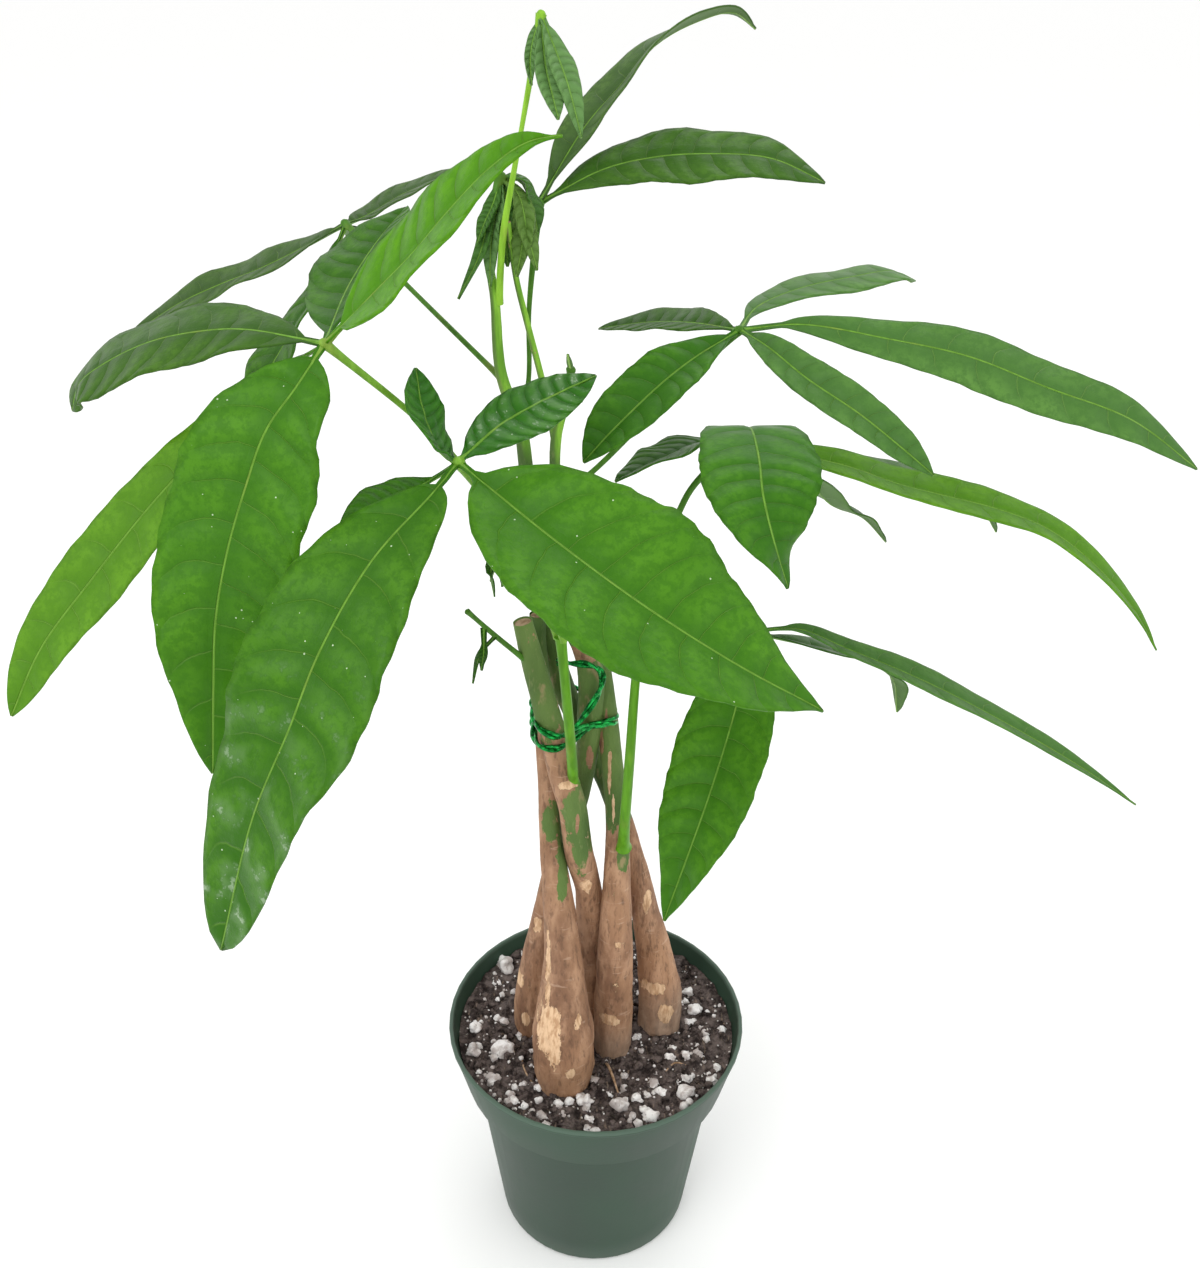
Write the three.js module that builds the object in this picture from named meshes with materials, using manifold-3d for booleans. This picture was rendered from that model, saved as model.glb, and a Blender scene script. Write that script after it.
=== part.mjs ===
// Potted money tree: five braided trunks in a round nursery pot, with palmate leaves.
// Millimetres, +Z up. The origin is the centre of the pot's base, and -Y is the front.

import * as THREE from 'three';
import { mergeVertices } from 'three/addons/utils/BufferGeometryUtils.js';
import Module from 'manifold-3d';

const wasm = await Module();
wasm.setup();

// Driving dimensions of the pot
const POT_HEIGHT = 88;
const RIM_RADIUS = 52;
const BASE_RADIUS = 34.8;
const STEP_RADIUS = 43;
const COLLAR_RADIUS = 47;
const COLLAR_HEIGHT = 20.8;
const WALL = 1.3;
const BASE_THICKNESS = 1.6;
const LIP_BULGE = 0.5;
const POT_SIDES = 48;
const DRAIN_HOLES = 8;
const DRAIN_RADIUS = 4;
const DRAIN_CIRCLE = 26;

// Driving dimensions of the potting mix
const SOIL_LEVEL = 79;
const SOIL_MOUND = 1.2;
const SOIL_RISE = 2.5;
const SOIL_SIDES = 26;
const PERLITE_SINK = 0.25;

// Gap kept between neighbouring pieces
const GAP = 0.3;

// Driving dimensions of the plant
const TRUNK_SIDES = 12;
const STEM_SIDES = 8;
const PETIOLE_SIDES = 6;
const BLADE_THICKNESS = 0.8;
const BLADE_ACROSS = 2;
const WAVES = 3;
const STALK_WIDTH = 1.8;
const TIE_RADIUS = 1.2;

const COLOURS = {
  pot: { color: 0x526256, roughness: 0.55 },
  soil: { color: 0x2e231c, roughness: 1.0 },
  bark: { color: 0x8f7460, roughness: 0.85 },
  tie: { color: 0x0a6b35, roughness: 0.25 },
  shoot: { color: 0x6ab030, roughness: 0.5 },
  leaf: { color: 0x3f8a22, roughness: 0.4 },
  young: { color: 0x5fa32b, roughness: 0.5 },
};

// Solids: a closed geometry becomes a solid that can be joined and cut, and goes back to a geometry
function toSolid(geometry) {
  const bare = geometry.clone();
  bare.deleteAttribute('normal');
  bare.deleteAttribute('uv');
  const merged = mergeVertices(bare, 1e-4);
  const vertProperties = new Float32Array(merged.attributes.position.array);
  const triVerts = new Uint32Array(merged.index.array);
  return new wasm.Manifold(new wasm.Mesh({ numProp: 3, vertProperties, triVerts }));
}

function toGeometry(solid) {
  const mesh = solid.getMesh();
  const geometry = new THREE.BufferGeometry();
  geometry.setAttribute('position', new THREE.BufferAttribute(new Float32Array(mesh.vertProperties), 3));
  geometry.setIndex(new THREE.BufferAttribute(new Uint32Array(mesh.triVerts), 1));
  geometry.computeVertexNormals();
  return geometry;
}

function joinAll(solids) {
  return solids.reduce((whole, solid) => whole.add(solid));
}

// A cut can leave a loose scrap beside the piece: only the largest body is kept
function largestBody(solid) {
  const bodies = solid.decompose();
  return bodies.reduce((best, body) => (body.volume() > best.volume() ? body : best));
}

const object = new THREE.Group();

function addNode(name, finish, solid) {
  const material = new THREE.MeshStandardMaterial(COLOURS[finish]);
  const mesh = new THREE.Mesh(toGeometry(largestBody(solid)), material);
  mesh.name = name;
  object.add(mesh);
}

// Curves through hand-placed points
function curveThrough(points) {
  const places = points.map(([x, y, z]) => new THREE.Vector3(x, y, z));
  return new THREE.CatmullRomCurve3(places, false, 'centripetal');
}

// Value at share t of a list of numbers, in straight steps
function between(values, t) {
  const place = t * (values.length - 1);
  const low = Math.min(Math.floor(place), values.length - 2);
  return THREE.MathUtils.lerp(values[low], values[low + 1], place - low);
}

// A limb is a round tube with a radius at each of its points, [x, y, z, radius]. extra makes it
// thicker, and longer at both ends.
function limb(points, sides, stepsPerPoint, extra = 0) {
  const steps = (points.length - 1) * stepsPerPoint;
  const curve = curveThrough(points);
  const radii = points.map((point) => point[3]);
  const frames = limbFrames(curve, steps);
  const tube = new THREE.CylinderGeometry(1, 1, 1, sides, steps);
  const position = tube.attributes.position;
  const corner = new THREE.Vector3();
  for (let i = 0; i < position.count; i += 1) {
    const step = Math.round((position.getY(i) + 0.5) * steps);
    const radius = between(radii, step / steps) + extra;
    const overrun = step === 0 ? -extra : step === steps ? extra : 0;
    corner.copy(frames[step].place);
    corner.addScaledVector(frames[step].along, overrun);
    corner.addScaledVector(frames[step].right, position.getX(i) * radius);
    corner.addScaledVector(frames[step].front, -position.getZ(i) * radius);
    position.setXYZ(i, corner.x, corner.y, corner.z);
  }
  return toSolid(tube);
}

// Frames along a limb, carried from each step to the next without twist
function limbFrames(curve, steps) {
  const frames = [];
  let right = new THREE.Vector3(1, 0, 0);
  for (let i = 0; i <= steps; i += 1) {
    const along = curve.getTangent(i / steps);
    right = right.clone().addScaledVector(along, -right.dot(along)).normalize();
    const front = new THREE.Vector3().crossVectors(along, right);
    frames.push({ place: curve.getPoint(i / steps), along, right, front });
  }
  return frames;
}

// Frame of a leaflet at share t: the blade's side and its upper face, turned about the rib by roll
function ribFrame(curve, t, roll) {
  const along = curve.getTangent(t);
  const side = new THREE.Vector3(along.y, -along.x, 0).normalize();
  const face = new THREE.Vector3().crossVectors(side, along);
  side.applyAxisAngle(along, roll);
  face.applyAxisAngle(along, roll);
  return { place: curve.getPoint(t), side, face };
}

// Half width of a leaflet, 1 at its widest: a pointed oval, set by how fast each end tapers
function outline(t, [baseTaper, tipTaper]) {
  const widest = baseTaper / (baseTaper + tipTaper);
  return (t / widest) ** baseTaper * ((1 - t) / (1 - widest)) ** tipTaper;
}

// A leaflet is a thin closed blade along its rib, [x, y, z] from the hub to the tip.
// width is in mm. roll is in degrees and fold is the margins' lift as a share of the half
// width, both from the hub to the tip. stalk is the share of the rib before the blade
// starts, wave is the margins' ripple, and along is the number of steps.
const PLAIN_LEAFLET = {
  roll: [0, 0], taper: [0.85, 0.85], fold: [0.12, 0.12], stalk: 0.05, wave: 0.05, along: 10,
};

function leaflet(options) {
  const leaf = { ...PLAIN_LEAFLET, ...options };
  const curve = curveThrough(leaf.rib);
  const sheet = new THREE.PlaneGeometry(2, 1, BLADE_ACROSS, leaf.along);
  const flat = sheet.attributes.position;
  const upper = [];
  const lower = [];
  for (let i = 0; i < flat.count; i += 1) {
    const s = flat.getX(i);
    const t = 0.5 + flat.getY(i);
    const frame = ribFrame(curve, t, THREE.MathUtils.degToRad(between(leaf.roll, t)));
    const blade = Math.max(0, (t - leaf.stalk) / (1 - leaf.stalk));
    const stalk = STALK_WIDTH * (1 - 0.65 * t);
    const half = Math.max(outline(blade, leaf.taper) * leaf.width, stalk) / 2;
    const ripple = leaf.wave * Math.sin(2 * Math.PI * WAVES * t + Math.sign(s));
    const lift = (between(leaf.fold, t) + ripple) * Math.abs(s) * half;
    const middle = frame.place.clone().addScaledVector(frame.side, s * half);
    middle.addScaledVector(frame.face, lift);
    upper.push(...middle.clone().addScaledVector(frame.face, BLADE_THICKNESS / 2).toArray());
    lower.push(...middle.addScaledVector(frame.face, -BLADE_THICKNESS / 2).toArray());
  }
  return closeSheet(upper, lower, sheet.index.array, BLADE_ACROSS, leaf.along);
}

// Joins an upper and a lower face, split into triangles alike, with a thin edge all round
function closeSheet(upper, lower, faces, across, along) {
  const count = upper.length / 3;
  const row = across + 1;
  const triangles = [];
  for (let i = 0; i < faces.length; i += 3) {
    const [a, b, c] = [faces[i], faces[i + 1], faces[i + 2]];
    triangles.push(a, b, c, a + count, c + count, b + count);
  }
  const border = [];
  for (let i = 0; i < along; i += 1) border.push(i * row);
  for (let i = 0; i < across; i += 1) border.push(along * row + i);
  for (let i = along; i > 0; i -= 1) border.push(i * row + across);
  for (let i = across; i > 0; i -= 1) border.push(i);
  border.forEach((p, i) => {
    const q = border[(i + 1) % border.length];
    triangles.push(q, p, p + count, q, p + count, q + count);
  });
  const geometry = new THREE.BufferGeometry();
  geometry.setAttribute('position', new THREE.BufferAttribute(new Float32Array([...upper, ...lower]), 3));
  geometry.setIndex(triangles);
  return toSolid(geometry);
}

// A round knob, such as the hub where leaflets meet
function knob([x, y, z], radius) {
  const ball = new THREE.IcosahedronGeometry(radius, 0);
  ball.translate(x, y, z);
  return toSolid(ball);
}

// A palmate leaf: its petiole, its hub and its leaflets, fused in one piece
function palmateLeaf({ petiole, hubRadius = 1.5, blades }) {
  const hub = petiole[petiole.length - 1];
  const solids = [limb(petiole, PETIOLE_SIDES, 2), knob(hub, hubRadius)];
  blades.forEach((blade) => solids.push(leaflet({ ...blade, rib: [hub.slice(0, 3), ...blade.rib] })));
  return joinAll(solids);
}

// Nursery pot: tapered body, stepped collar, thin lip and drain holes round the base
const STEP_HEIGHT = POT_HEIGHT - COLLAR_HEIGHT;

function pot() {
  const profile = [
    [0, 0],
    [BASE_RADIUS - 1.2, 0],
    [BASE_RADIUS, 1.2],
    [STEP_RADIUS, STEP_HEIGHT - 1],
    [COLLAR_RADIUS, STEP_HEIGHT],
    [RIM_RADIUS - LIP_BULGE, POT_HEIGHT - 2.2],
    [RIM_RADIUS, POT_HEIGHT - 1.6],
    [RIM_RADIUS, POT_HEIGHT - 0.4],
    [RIM_RADIUS - 0.4, POT_HEIGHT],
    [RIM_RADIUS - WALL, POT_HEIGHT],
    [RIM_RADIUS - WALL - LIP_BULGE, POT_HEIGHT - 2.2],
    [COLLAR_RADIUS - WALL, STEP_HEIGHT + WALL],
    [STEP_RADIUS - WALL, STEP_HEIGHT],
    [BASE_RADIUS - WALL, BASE_THICKNESS + 0.6],
    [BASE_RADIUS - WALL - 1, BASE_THICKNESS],
    [0, BASE_THICKNESS],
  ];
  const shell = new THREE.LatheGeometry(profile.map(([r, z]) => new THREE.Vector2(r, z)), POT_SIDES);
  shell.rotateX(Math.PI / 2);
  let solid = toSolid(shell);
  for (let i = 0; i < DRAIN_HOLES; i += 1) {
    const angle = (2 * Math.PI * (i + 0.5)) / DRAIN_HOLES;
    const drill = new THREE.CylinderGeometry(DRAIN_RADIUS, DRAIN_RADIUS, 4 * BASE_THICKNESS, 16);
    drill.rotateX(Math.PI / 2);
    drill.translate(DRAIN_CIRCLE * Math.cos(angle), DRAIN_CIRCLE * Math.sin(angle), 0);
    solid = solid.subtract(toSolid(drill));
  }
  return solid;
}

// Trunks, from inside the soil to the cut top or the leader's tip: [x, y, z, radius]
const TRUNKS = {
  trunk_front_left: [
    [-11, -19, 52, 3.5], [-11, -20, 60, 7.5], [-11, -20, 72, 8.6], [-11, -21, 86, 10.3],
    [-11, -21, 100, 10.4], [-11, -20, 115, 8.3], [-11, -18, 131, 6.2], [-13, -14, 157, 4.7],
    [-15, -11, 174, 3.6], [-16, -6, 194, 3.1], [-18, 1, 222, 2.9], [-19, 3, 238, 2.6], [-19, 3, 248, 2.4],
  ],
  trunk_centre_left: [
    [-3, 5, 52, 3], [-3, 4, 66, 5.4], [-2, 2, 93, 6.6], [-2, -1, 115, 5.8], [-3, -7, 151, 4.3],
    [-6, -12, 170, 4.6], [-8, -13, 188, 4.3], [-10.6, -13, 199, 4.4], [-15.3, -10, 219, 4.1],
    [-20.4, -8, 240, 3.3], [-22.8, -8, 251.5, 2.8],
  ],
  trunk_centre_right: [
    [6, -4, 54, 3], [6, -5, 64, 5.6], [6, -6, 80, 6.5], [6, -6, 96, 6.8], [6, -9, 123, 6.1],
    [6, -11, 154, 4.7], [6, -7, 176, 3.6], [3.4, 0, 203, 3.4], [0, 5, 230, 3.1], [-1, 6.5, 238, 3],
  ],
  trunk_right_rear: [
    [23, 6, 50, 3.5], [23, 6, 60, 6.6], [23, 6, 80, 7.8], [23, 6, 92, 7.7], [21, 7, 107, 6.4],
    [17, 8, 127, 5], [12, 9, 150, 4.1], [4.5, 10, 177, 3.5], [-3, 10.5, 196, 3.5], [-12.4, 8.6, 222, 3.5],
    [-16.6, 7, 246, 2.9], [-21.5, 5, 290, 2.1], [-23, 4.4, 305, 1.9], [-28, 3, 322, 1.6],
    [-29, 2, 342, 1.3], [-31, 5, 358, 1], [-29, 6, 366, 0.8],
  ],
  trunk_left_rear: [
    [-22, 4, 50, 3.5], [-22, 4, 60, 6.2], [-22, 4, 74, 7.3], [-22, 4, 90, 7.4], [-21, 4, 105, 6.3],
    [-17, 7, 133, 4.4], [-13, 8, 155, 3.7], [-8, 6, 173, 3.4], [-4, 1, 200, 3.6], [-3, 0, 215, 4],
    [-3, 0, 230, 4.1], [-5, 0, 238, 3.6], [-11, 1, 249, 2], [-13, 0, 280, 1.6], [-13, 0, 305, 1.5],
    [-10, 0, 316, 1], [-9, 0, 322, 0.9],
  ],
};
const TRUNK_ORDER = [
  'trunk_front_left', 'trunk_centre_left', 'trunk_centre_right', 'trunk_left_rear', 'trunk_right_rear',
];

// The left rear trunk's leader forks: this branch runs up to the crown
const FORK = [
  [-13, 0, 303, 1.1], [-17, 2, 321, 0.9], [-20.6, 3.6, 335, 0.85], [-23.4, 4, 347, 0.8], [-25, 1, 362, 0.7],
];

// Green shoots on the two centre trunks
const SHOOTS = {
  shoot_left: [
    [-8, -13, 198, 1.7], [-8, -18, 207, 1.6], [-9, -25, 229, 1.5], [-10, -29, 246, 1.4], [-11, -30, 259, 1.5],
  ],
  shoot_right: [
    [8, -11, 172, 2], [8, -16, 184, 1.7], [9, -21, 214, 1.5], [10, -22, 241, 1.3], [12, -22, 269, 1.6],
  ],
};

const solids = {};
const grown = {};

function trunkParts(name, extra) {
  const parts = [limb(TRUNKS[name], TRUNK_SIDES, 2, extra)];
  if (name === 'trunk_left_rear') parts.push(limb(FORK, STEM_SIDES, 2, extra));
  return joinAll(parts);
}

// Each trunk is pressed against the ones before it, and keeps the gap to them
TRUNK_ORDER.forEach((name, i) => {
  let solid = trunkParts(name, 0);
  TRUNK_ORDER.slice(0, i).forEach((other) => {
    solid = solid.subtract(grown[other]);
  });
  solids[name] = solid;
  grown[name] = trunkParts(name, GAP);
});
const allTrunksGrown = joinAll(Object.values(grown));

Object.entries(SHOOTS).forEach(([name, points]) => {
  solids[name] = limb(points, STEM_SIDES, 2).subtract(allTrunksGrown);
  grown[name] = limb(points, STEM_SIDES, 2, GAP);
});
const woodGrown = joinAll(Object.values(grown));

// Potting mix: a plug that fills the pot, with a low uneven top, perlite lumps and a hole for each trunk
const PERLITE = [
  [-33, -11, 4.2], [-43, -13, 2.6], [-35, -24, 2.6], [-3, -34, 2.6], [9, -35, 3], [19, -38, 3.5],
  [31, -29, 3.2], [32, -21, 2.5], [36, 11, 2.3], [34, 5, 1.8], [-31, 29, 3.6], [-43, 0, 2], [33, -11, 1.8],
  [39, -24, 1.6], [-11, -43, 1.6], [-28, -34, 2], [0, 36, 3], [18, 33, 2.4], [-14, 30, 2.2], [41, -4, 2],
  [4, 22, 2.2],
];

function potInside(height) {
  const floor = BASE_THICKNESS + GAP;
  if (height <= floor + 1) return BASE_RADIUS - WALL - 1.4;
  const outside = height < STEP_HEIGHT
    ? THREE.MathUtils.mapLinear(height, floor, STEP_HEIGHT, BASE_RADIUS, STEP_RADIUS)
    : THREE.MathUtils.mapLinear(height, STEP_HEIGHT, POT_HEIGHT, COLLAR_RADIUS, RIM_RADIUS);
  return outside - WALL - 2 * GAP;
}

// Height of the mix: uneven, and rising towards the pot's wall
function soilHeight(x, y) {
  const bumps = Math.sin(x * 0.31 + 1) * Math.cos(y * 0.27) + 0.6 * Math.sin(x * 0.57 - y * 0.49);
  const reach = Math.hypot(x, y) / potInside(SOIL_LEVEL);
  return SOIL_LEVEL + 0.55 * SOIL_MOUND * bumps + SOIL_RISE * reach ** 4;
}

function soil() {
  const rings = [0.28, 0.52, 0.74, 0.9, 0.99];
  const edge = potInside(SOIL_LEVEL);
  const profile = [
    [0, BASE_THICKNESS + GAP],
    [potInside(0), BASE_THICKNESS + GAP],
    [potInside(STEP_HEIGHT - 3), STEP_HEIGHT - 3],
    [potInside(STEP_HEIGHT - 3) + 0.2, STEP_HEIGHT],
    [potInside(STEP_HEIGHT + 3) - 0.6, STEP_HEIGHT + 3],
    [edge - 0.4, SOIL_LEVEL - 1.5],
    ...rings.map((share) => [share * edge, SOIL_LEVEL]).reverse(),
    [0, SOIL_LEVEL],
  ];
  const plug = new THREE.LatheGeometry(profile.map(([r, z]) => new THREE.Vector2(r, z)), SOIL_SIDES);
  plug.rotateX(Math.PI / 2);
  const position = plug.attributes.position;
  for (let i = 0; i < position.count; i += 1) {
    if (position.getZ(i) > SOIL_LEVEL - 0.5) {
      position.setZ(i, soilHeight(position.getX(i), position.getY(i)));
    }
  }
  const lumps = PERLITE.map(([x, y, radius], i) => {
    const lump = new THREE.IcosahedronGeometry(radius, 0);
    lump.rotateX(i);
    lump.rotateY(2 * i);
    lump.translate(x, y, soilHeight(x, y) + radius * PERLITE_SINK);
    return toSolid(lump);
  });
  return joinAll([toSolid(plug), ...lumps]).subtract(allTrunksGrown);
}

// Twist tie: two wraps round the trunks that cross each other, and a tail that loops over the front.
// Each wrap is a front and a back half, [x, y] in plan, and tilt is its slope along x.
const TIE_HEIGHT = 213.4;
const TIE_TILTS = [-0.28, 0.06];
const TIE_FRONT = [
  [-18.4, 3.4], [-20.7, 0], [-20.2, -4], [-19.8, -9.4], [-17.6, -14.4], [-13, -16], [-8.6, -12.4],
  [-4.4, -6.4], [0, -3.6], [3.6, -1.4], [5, 2], [3.8, 5.4],
];
const TIE_BACK = [[5, 2], [3.8, 5.4], [-2, 11], [-7, 13.6], [-11, 13.2], [-18.4, 3.4], [-20.7, 0]];
const TIE_TAIL = [
  [-9, -10, 214], [-4, -7, 220], [-0.6, -6, 226], [0.6, -5.4, 231], [-0.4, -5.6, 234], [-4, -6, 236],
  [-8, -5.4, 236], [-13, -3, 235],
];

function tie() {
  const strands = [limb(TIE_TAIL.map((point) => [...point, TIE_RADIUS]), PETIOLE_SIDES, 1)];
  TIE_TILTS.forEach((tilt) => {
    [TIE_FRONT, TIE_BACK].forEach((half) => {
      const route = half.map(([x, y]) => [x, y, TIE_HEIGHT + tilt * x, TIE_RADIUS]);
      strands.push(limb(route, PETIOLE_SIDES, 1));
    });
  });
  return joinAll(strands).subtract(woodGrown);
}

// Leaves. Each petiole is [x, y, z, radius] from its stem to the hub
const LEAVES = {
  leaf_front: {
    petiole: [[-10.2, -30.8, 258, 0.8], [-15, -37.6, 277, 0.9], [-24, -50, 302, 0.9], [-33, -62, 322, 1.1]],
    blades: [
      {
        rib: [
          [-38, -71, 318], [-50, -85, 308], [-60, -98, 293], [-67, -105, 277], [-76, -109, 257],
          [-86.5, -113.5, 222],
        ],
        width: 34, roll: [-8, -20, -34], taper: [0.7, 0.58], fold: [0.04, 0.1], stalk: 0.13, wave: 0.03,
        along: 14,
      },
      {
        rib: [[-41, -60, 316], [-47, -64, 314], [-53, -68, 312], [-60, -74, 306]],
        width: 13, roll: [-10, -10], stalk: 0.2,
      },
      {
        rib: [[-9, -84, 312], [10, -96, 303], [29, -102, 293], [48, -102, 282]],
        width: 42, roll: [20, 20], taper: [0.7, 1.1], fold: [0.35, 0.12], along: 14,
      },
      {
        rib: [[-24, -54, 328], [-13, -46, 332], [-2, -38, 335]],
        width: 15, roll: [24, 24], fold: [-0.1, -0.1],
      },
      { rib: [[-37, -60, 324], [-41, -56, 332], [-43, -50, 340]], width: 13, roll: [30, 30], along: 8 },
    ],
  },
  leaf_left: {
    petiole: [
      [-12, -28.8, 258, 0.8], [-17.6, -33.6, 276, 0.8], [-25, -40, 297, 0.8], [-40, -46, 322, 0.7],
      [-63, -52, 346, 0.9],
    ],
    blades: [
      {
        rib: [
          [-82, -42, 346], [-94, -36, 344], [-109, -32, 340], [-123, -28, 333], [-131, -26, 327],
          [-134, -26, 320],
        ],
        width: 24, roll: [-22, -28], taper: [0.6, 0.6], fold: [-0.1, -0.1], along: 12,
      },
      {
        rib: [
          [-78, -42, 335], [-94, -45, 320], [-110, -49, 304], [-125, -54, 287], [-139, -59, 270],
          [-148, -64, 253],
        ],
        width: 19, roll: [-15, -40, -45], taper: [1, 0.75], fold: [0, 0.1], along: 12,
      },
      {
        rib: [
          [-68, -60, 339], [-75, -65, 330], [-80, -69, 318], [-85, -72, 304], [-89, -75, 288],
          [-91, -78, 271], [-93, -82, 249],
        ],
        width: 34, roll: [-20, -45, -50], taper: [0.7, 0.8], fold: [0.02, 0.02], wave: 0.03, along: 14,
      },
      {
        rib: [
          [-49, -57, 360], [-41, -60, 368], [-33, -63, 377], [-24, -65.5, 386], [-16, -67, 391.5],
          [-9, -67, 393],
        ],
        width: 24, roll: [36, 36], taper: [0.6, 1.6], fold: [0.15, 0.1], along: 12,
      },
      {
        rib: [[-62, -22, 352], [-57, -6, 359], [-51, 4, 365]],
        width: 26, roll: [-19, -19], fold: [0.19, 0.19], along: 8,
      },
    ],
  },
  leaf_rear_left: {
    petiole: [[-28, 4, 320, 0.8], [-54, 28, 337, 0.7], [-76, 50, 351, 0.9]],
    blades: [
      {
        rib: [[-88, 55, 344], [-105, 62, 335], [-119, 66, 329], [-134, 68, 322], [-152, 68, 311]],
        width: 15, roll: [-25, -25], wave: 0.12, along: 10,
      },
      { rib: [[-71, 56, 352], [-61, 62, 357], [-50, 66, 361], [-38, 68, 364]], width: 14, along: 8 },
      {
        rib: [[-84, 44, 334], [-93, 38, 321], [-100, 30, 310], [-105, 24, 301]],
        width: 24, roll: [14, 14],
      },
      { rib: [[-74, 80, 338], [-76, 108, 318]], width: 14, along: 8 },
    ],
  },
  leaf_top_right: {
    petiole: [[-23, 4, 304, 0.9], [-21, 12, 318, 0.7], [-21, 18, 335, 0.7], [-18, 22, 363, 1]],
    blades: [
      {
        rib: [
          [-11, 28, 374], [-5, 34, 382], [3, 40, 390], [12, 44, 400], [24, 48, 406], [34, 50, 408],
          [40, 50, 404],
        ],
        width: 16, roll: [10, -25], taper: [0.75, 1], fold: [0.4, 0], along: 14,
      },
      {
        rib: [[-1, 26, 371], [13, 28, 374], [27, 28, 375], [44, 28, 374], [59, 28, 368]],
        width: 23, roll: [25, 27], fold: [-0.04, -0.04],
      },
      { rib: [[-20, 25, 361], [-22, 27, 356], [-24, 28, 350]], width: 9, along: 6 },
    ],
  },
  leaf_upper_right: {
    petiole: [[-13, 0, 286, 0.9], [-2, 2, 295, 0.8], [17, 4, 315, 0.8], [36, 5, 334, 1]],
    blades: [
      {
        rib: [[52, 4, 336], [75, 2, 333], [97, 0, 329], [118, -4, 322], [140, -8, 315], [160, -10, 302]],
        width: 18, roll: [38, 38], taper: [1, 0.85], fold: [-0.1, -0.1], stalk: 0.1, along: 14,
      },
      {
        rib: [[42, 21, 336], [56, 38, 337], [73, 52, 337], [88, 64, 336], [96, 72, 331]],
        width: 18, roll: [4, 4], taper: [1.3, 0.85], fold: [-0.1, -0.1],
      },
      { rib: [[25, 22, 331], [13, 40, 326], [-2, 54, 320]], width: 14, roll: [-18, -18], along: 8 },
      {
        rib: [[23, -8, 330], [14, -18, 326], [2, -30, 318], [-5, -36, 312]],
        width: 17, roll: [-16, -16], fold: [0.3, 0.3],
      },
      {
        rib: [[42, -8, 333.5], [51, -20, 329], [63, -30, 323.5], [73, -38, 317.5], [80, -44, 313]],
        width: 12, roll: [28, 28], fold: [0.2, 0.2],
      },
    ],
  },
  leaf_middle_right: {
    petiole: [[12, -22, 268, 1.2], [20, -20, 291, 0.9], [24, -17, 298, 0.9], [36, -10, 308, 1.1]],
    blades: [
      {
        rib: [[36, -34, 321], [36, -56, 321], [36, -68, 317], [38, -75, 310], [42, -78, 299]],
        width: 28, taper: [0.6, 0.9], fold: [0, 0], wave: 0.02, along: 14,
      },
      { rib: [[25, -14, 309], [15, -20, 307], [3, -26, 303]], width: 24, roll: [17, 17], along: 8 },
      {
        rib: [
          [53, -6, 303], [67, -5, 299.5], [82, -4, 294], [96, -4, 290.5], [110, -4, 287], [125, -5, 281.5],
          [139, -8, 272], [152, -10, 259], [160.5, -12, 247],
        ],
        width: 15, roll: [15, 15], taper: [0.6, 0.9], along: 16,
      },
      { rib: [[75, 18, 292], [99, 30, 281], [116, 36, 273], [125, 38, 261]], width: 17 },
      { rib: [[56, 5, 293], [70, 25, 275], [81, 32, 268], [90, 36, 258]], width: 13, along: 8 },
    ],
  },
  leaf_lower_right: {
    petiole: [[12, -21, 268, 1.1], [28, -14, 260, 0.9], [44, -4, 247, 1.1]],
    blades: [
      {
        rib: [
          [58, -4, 248], [73, -5, 242], [89, -7, 236], [105, -9, 229], [125, -12, 219], [144, -16, 209],
          [162, -20, 198],
        ],
        width: 12.5, roll: [4, 4], taper: [0.85, 1], fold: [0.13, 0.13], stalk: 0.08, along: 14,
      },
      { rib: [[71, 12, 232], [86, 22, 222], [96, 26, 213], [99, 27, 200]], width: 17, along: 8 },
      {
        rib: [[40, -16, 230], [33, -32, 213], [26, -44, 197], [19, -52, 178]],
        width: 28, roll: [4, 4], taper: [0.7, 0.95], fold: [0.17, 0.17],
      },
    ],
  },
  leaf_top_young: {
    petiole: [
      [-28, 2, 341, 0.9], [-26, -2, 360, 0.9], [-23, -2, 375, 0.7], [-21, 0, 385, 0.6], [-16, 0, 410, 0.9],
    ],
    hubRadius: 1.2,
    blades: [
      { rib: [[-12, -7, 402], [-9.4, -11, 396], [-6, -16, 385]], width: 7, along: 6 },
      { rib: [[-14.8, -8, 400], [-13, -13, 394], [-11.4, -16, 389]], width: 6, along: 6 },
      { rib: [[-17.6, -1.4, 406], [-18.6, -3, 401], [-18.2, -5, 395]], width: 3, along: 6 },
    ],
  },
};

Object.entries(LEAVES).forEach(([name, leaf]) => {
  solids[name] = palmateLeaf(leaf).subtract(woodGrown);
});

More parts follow.
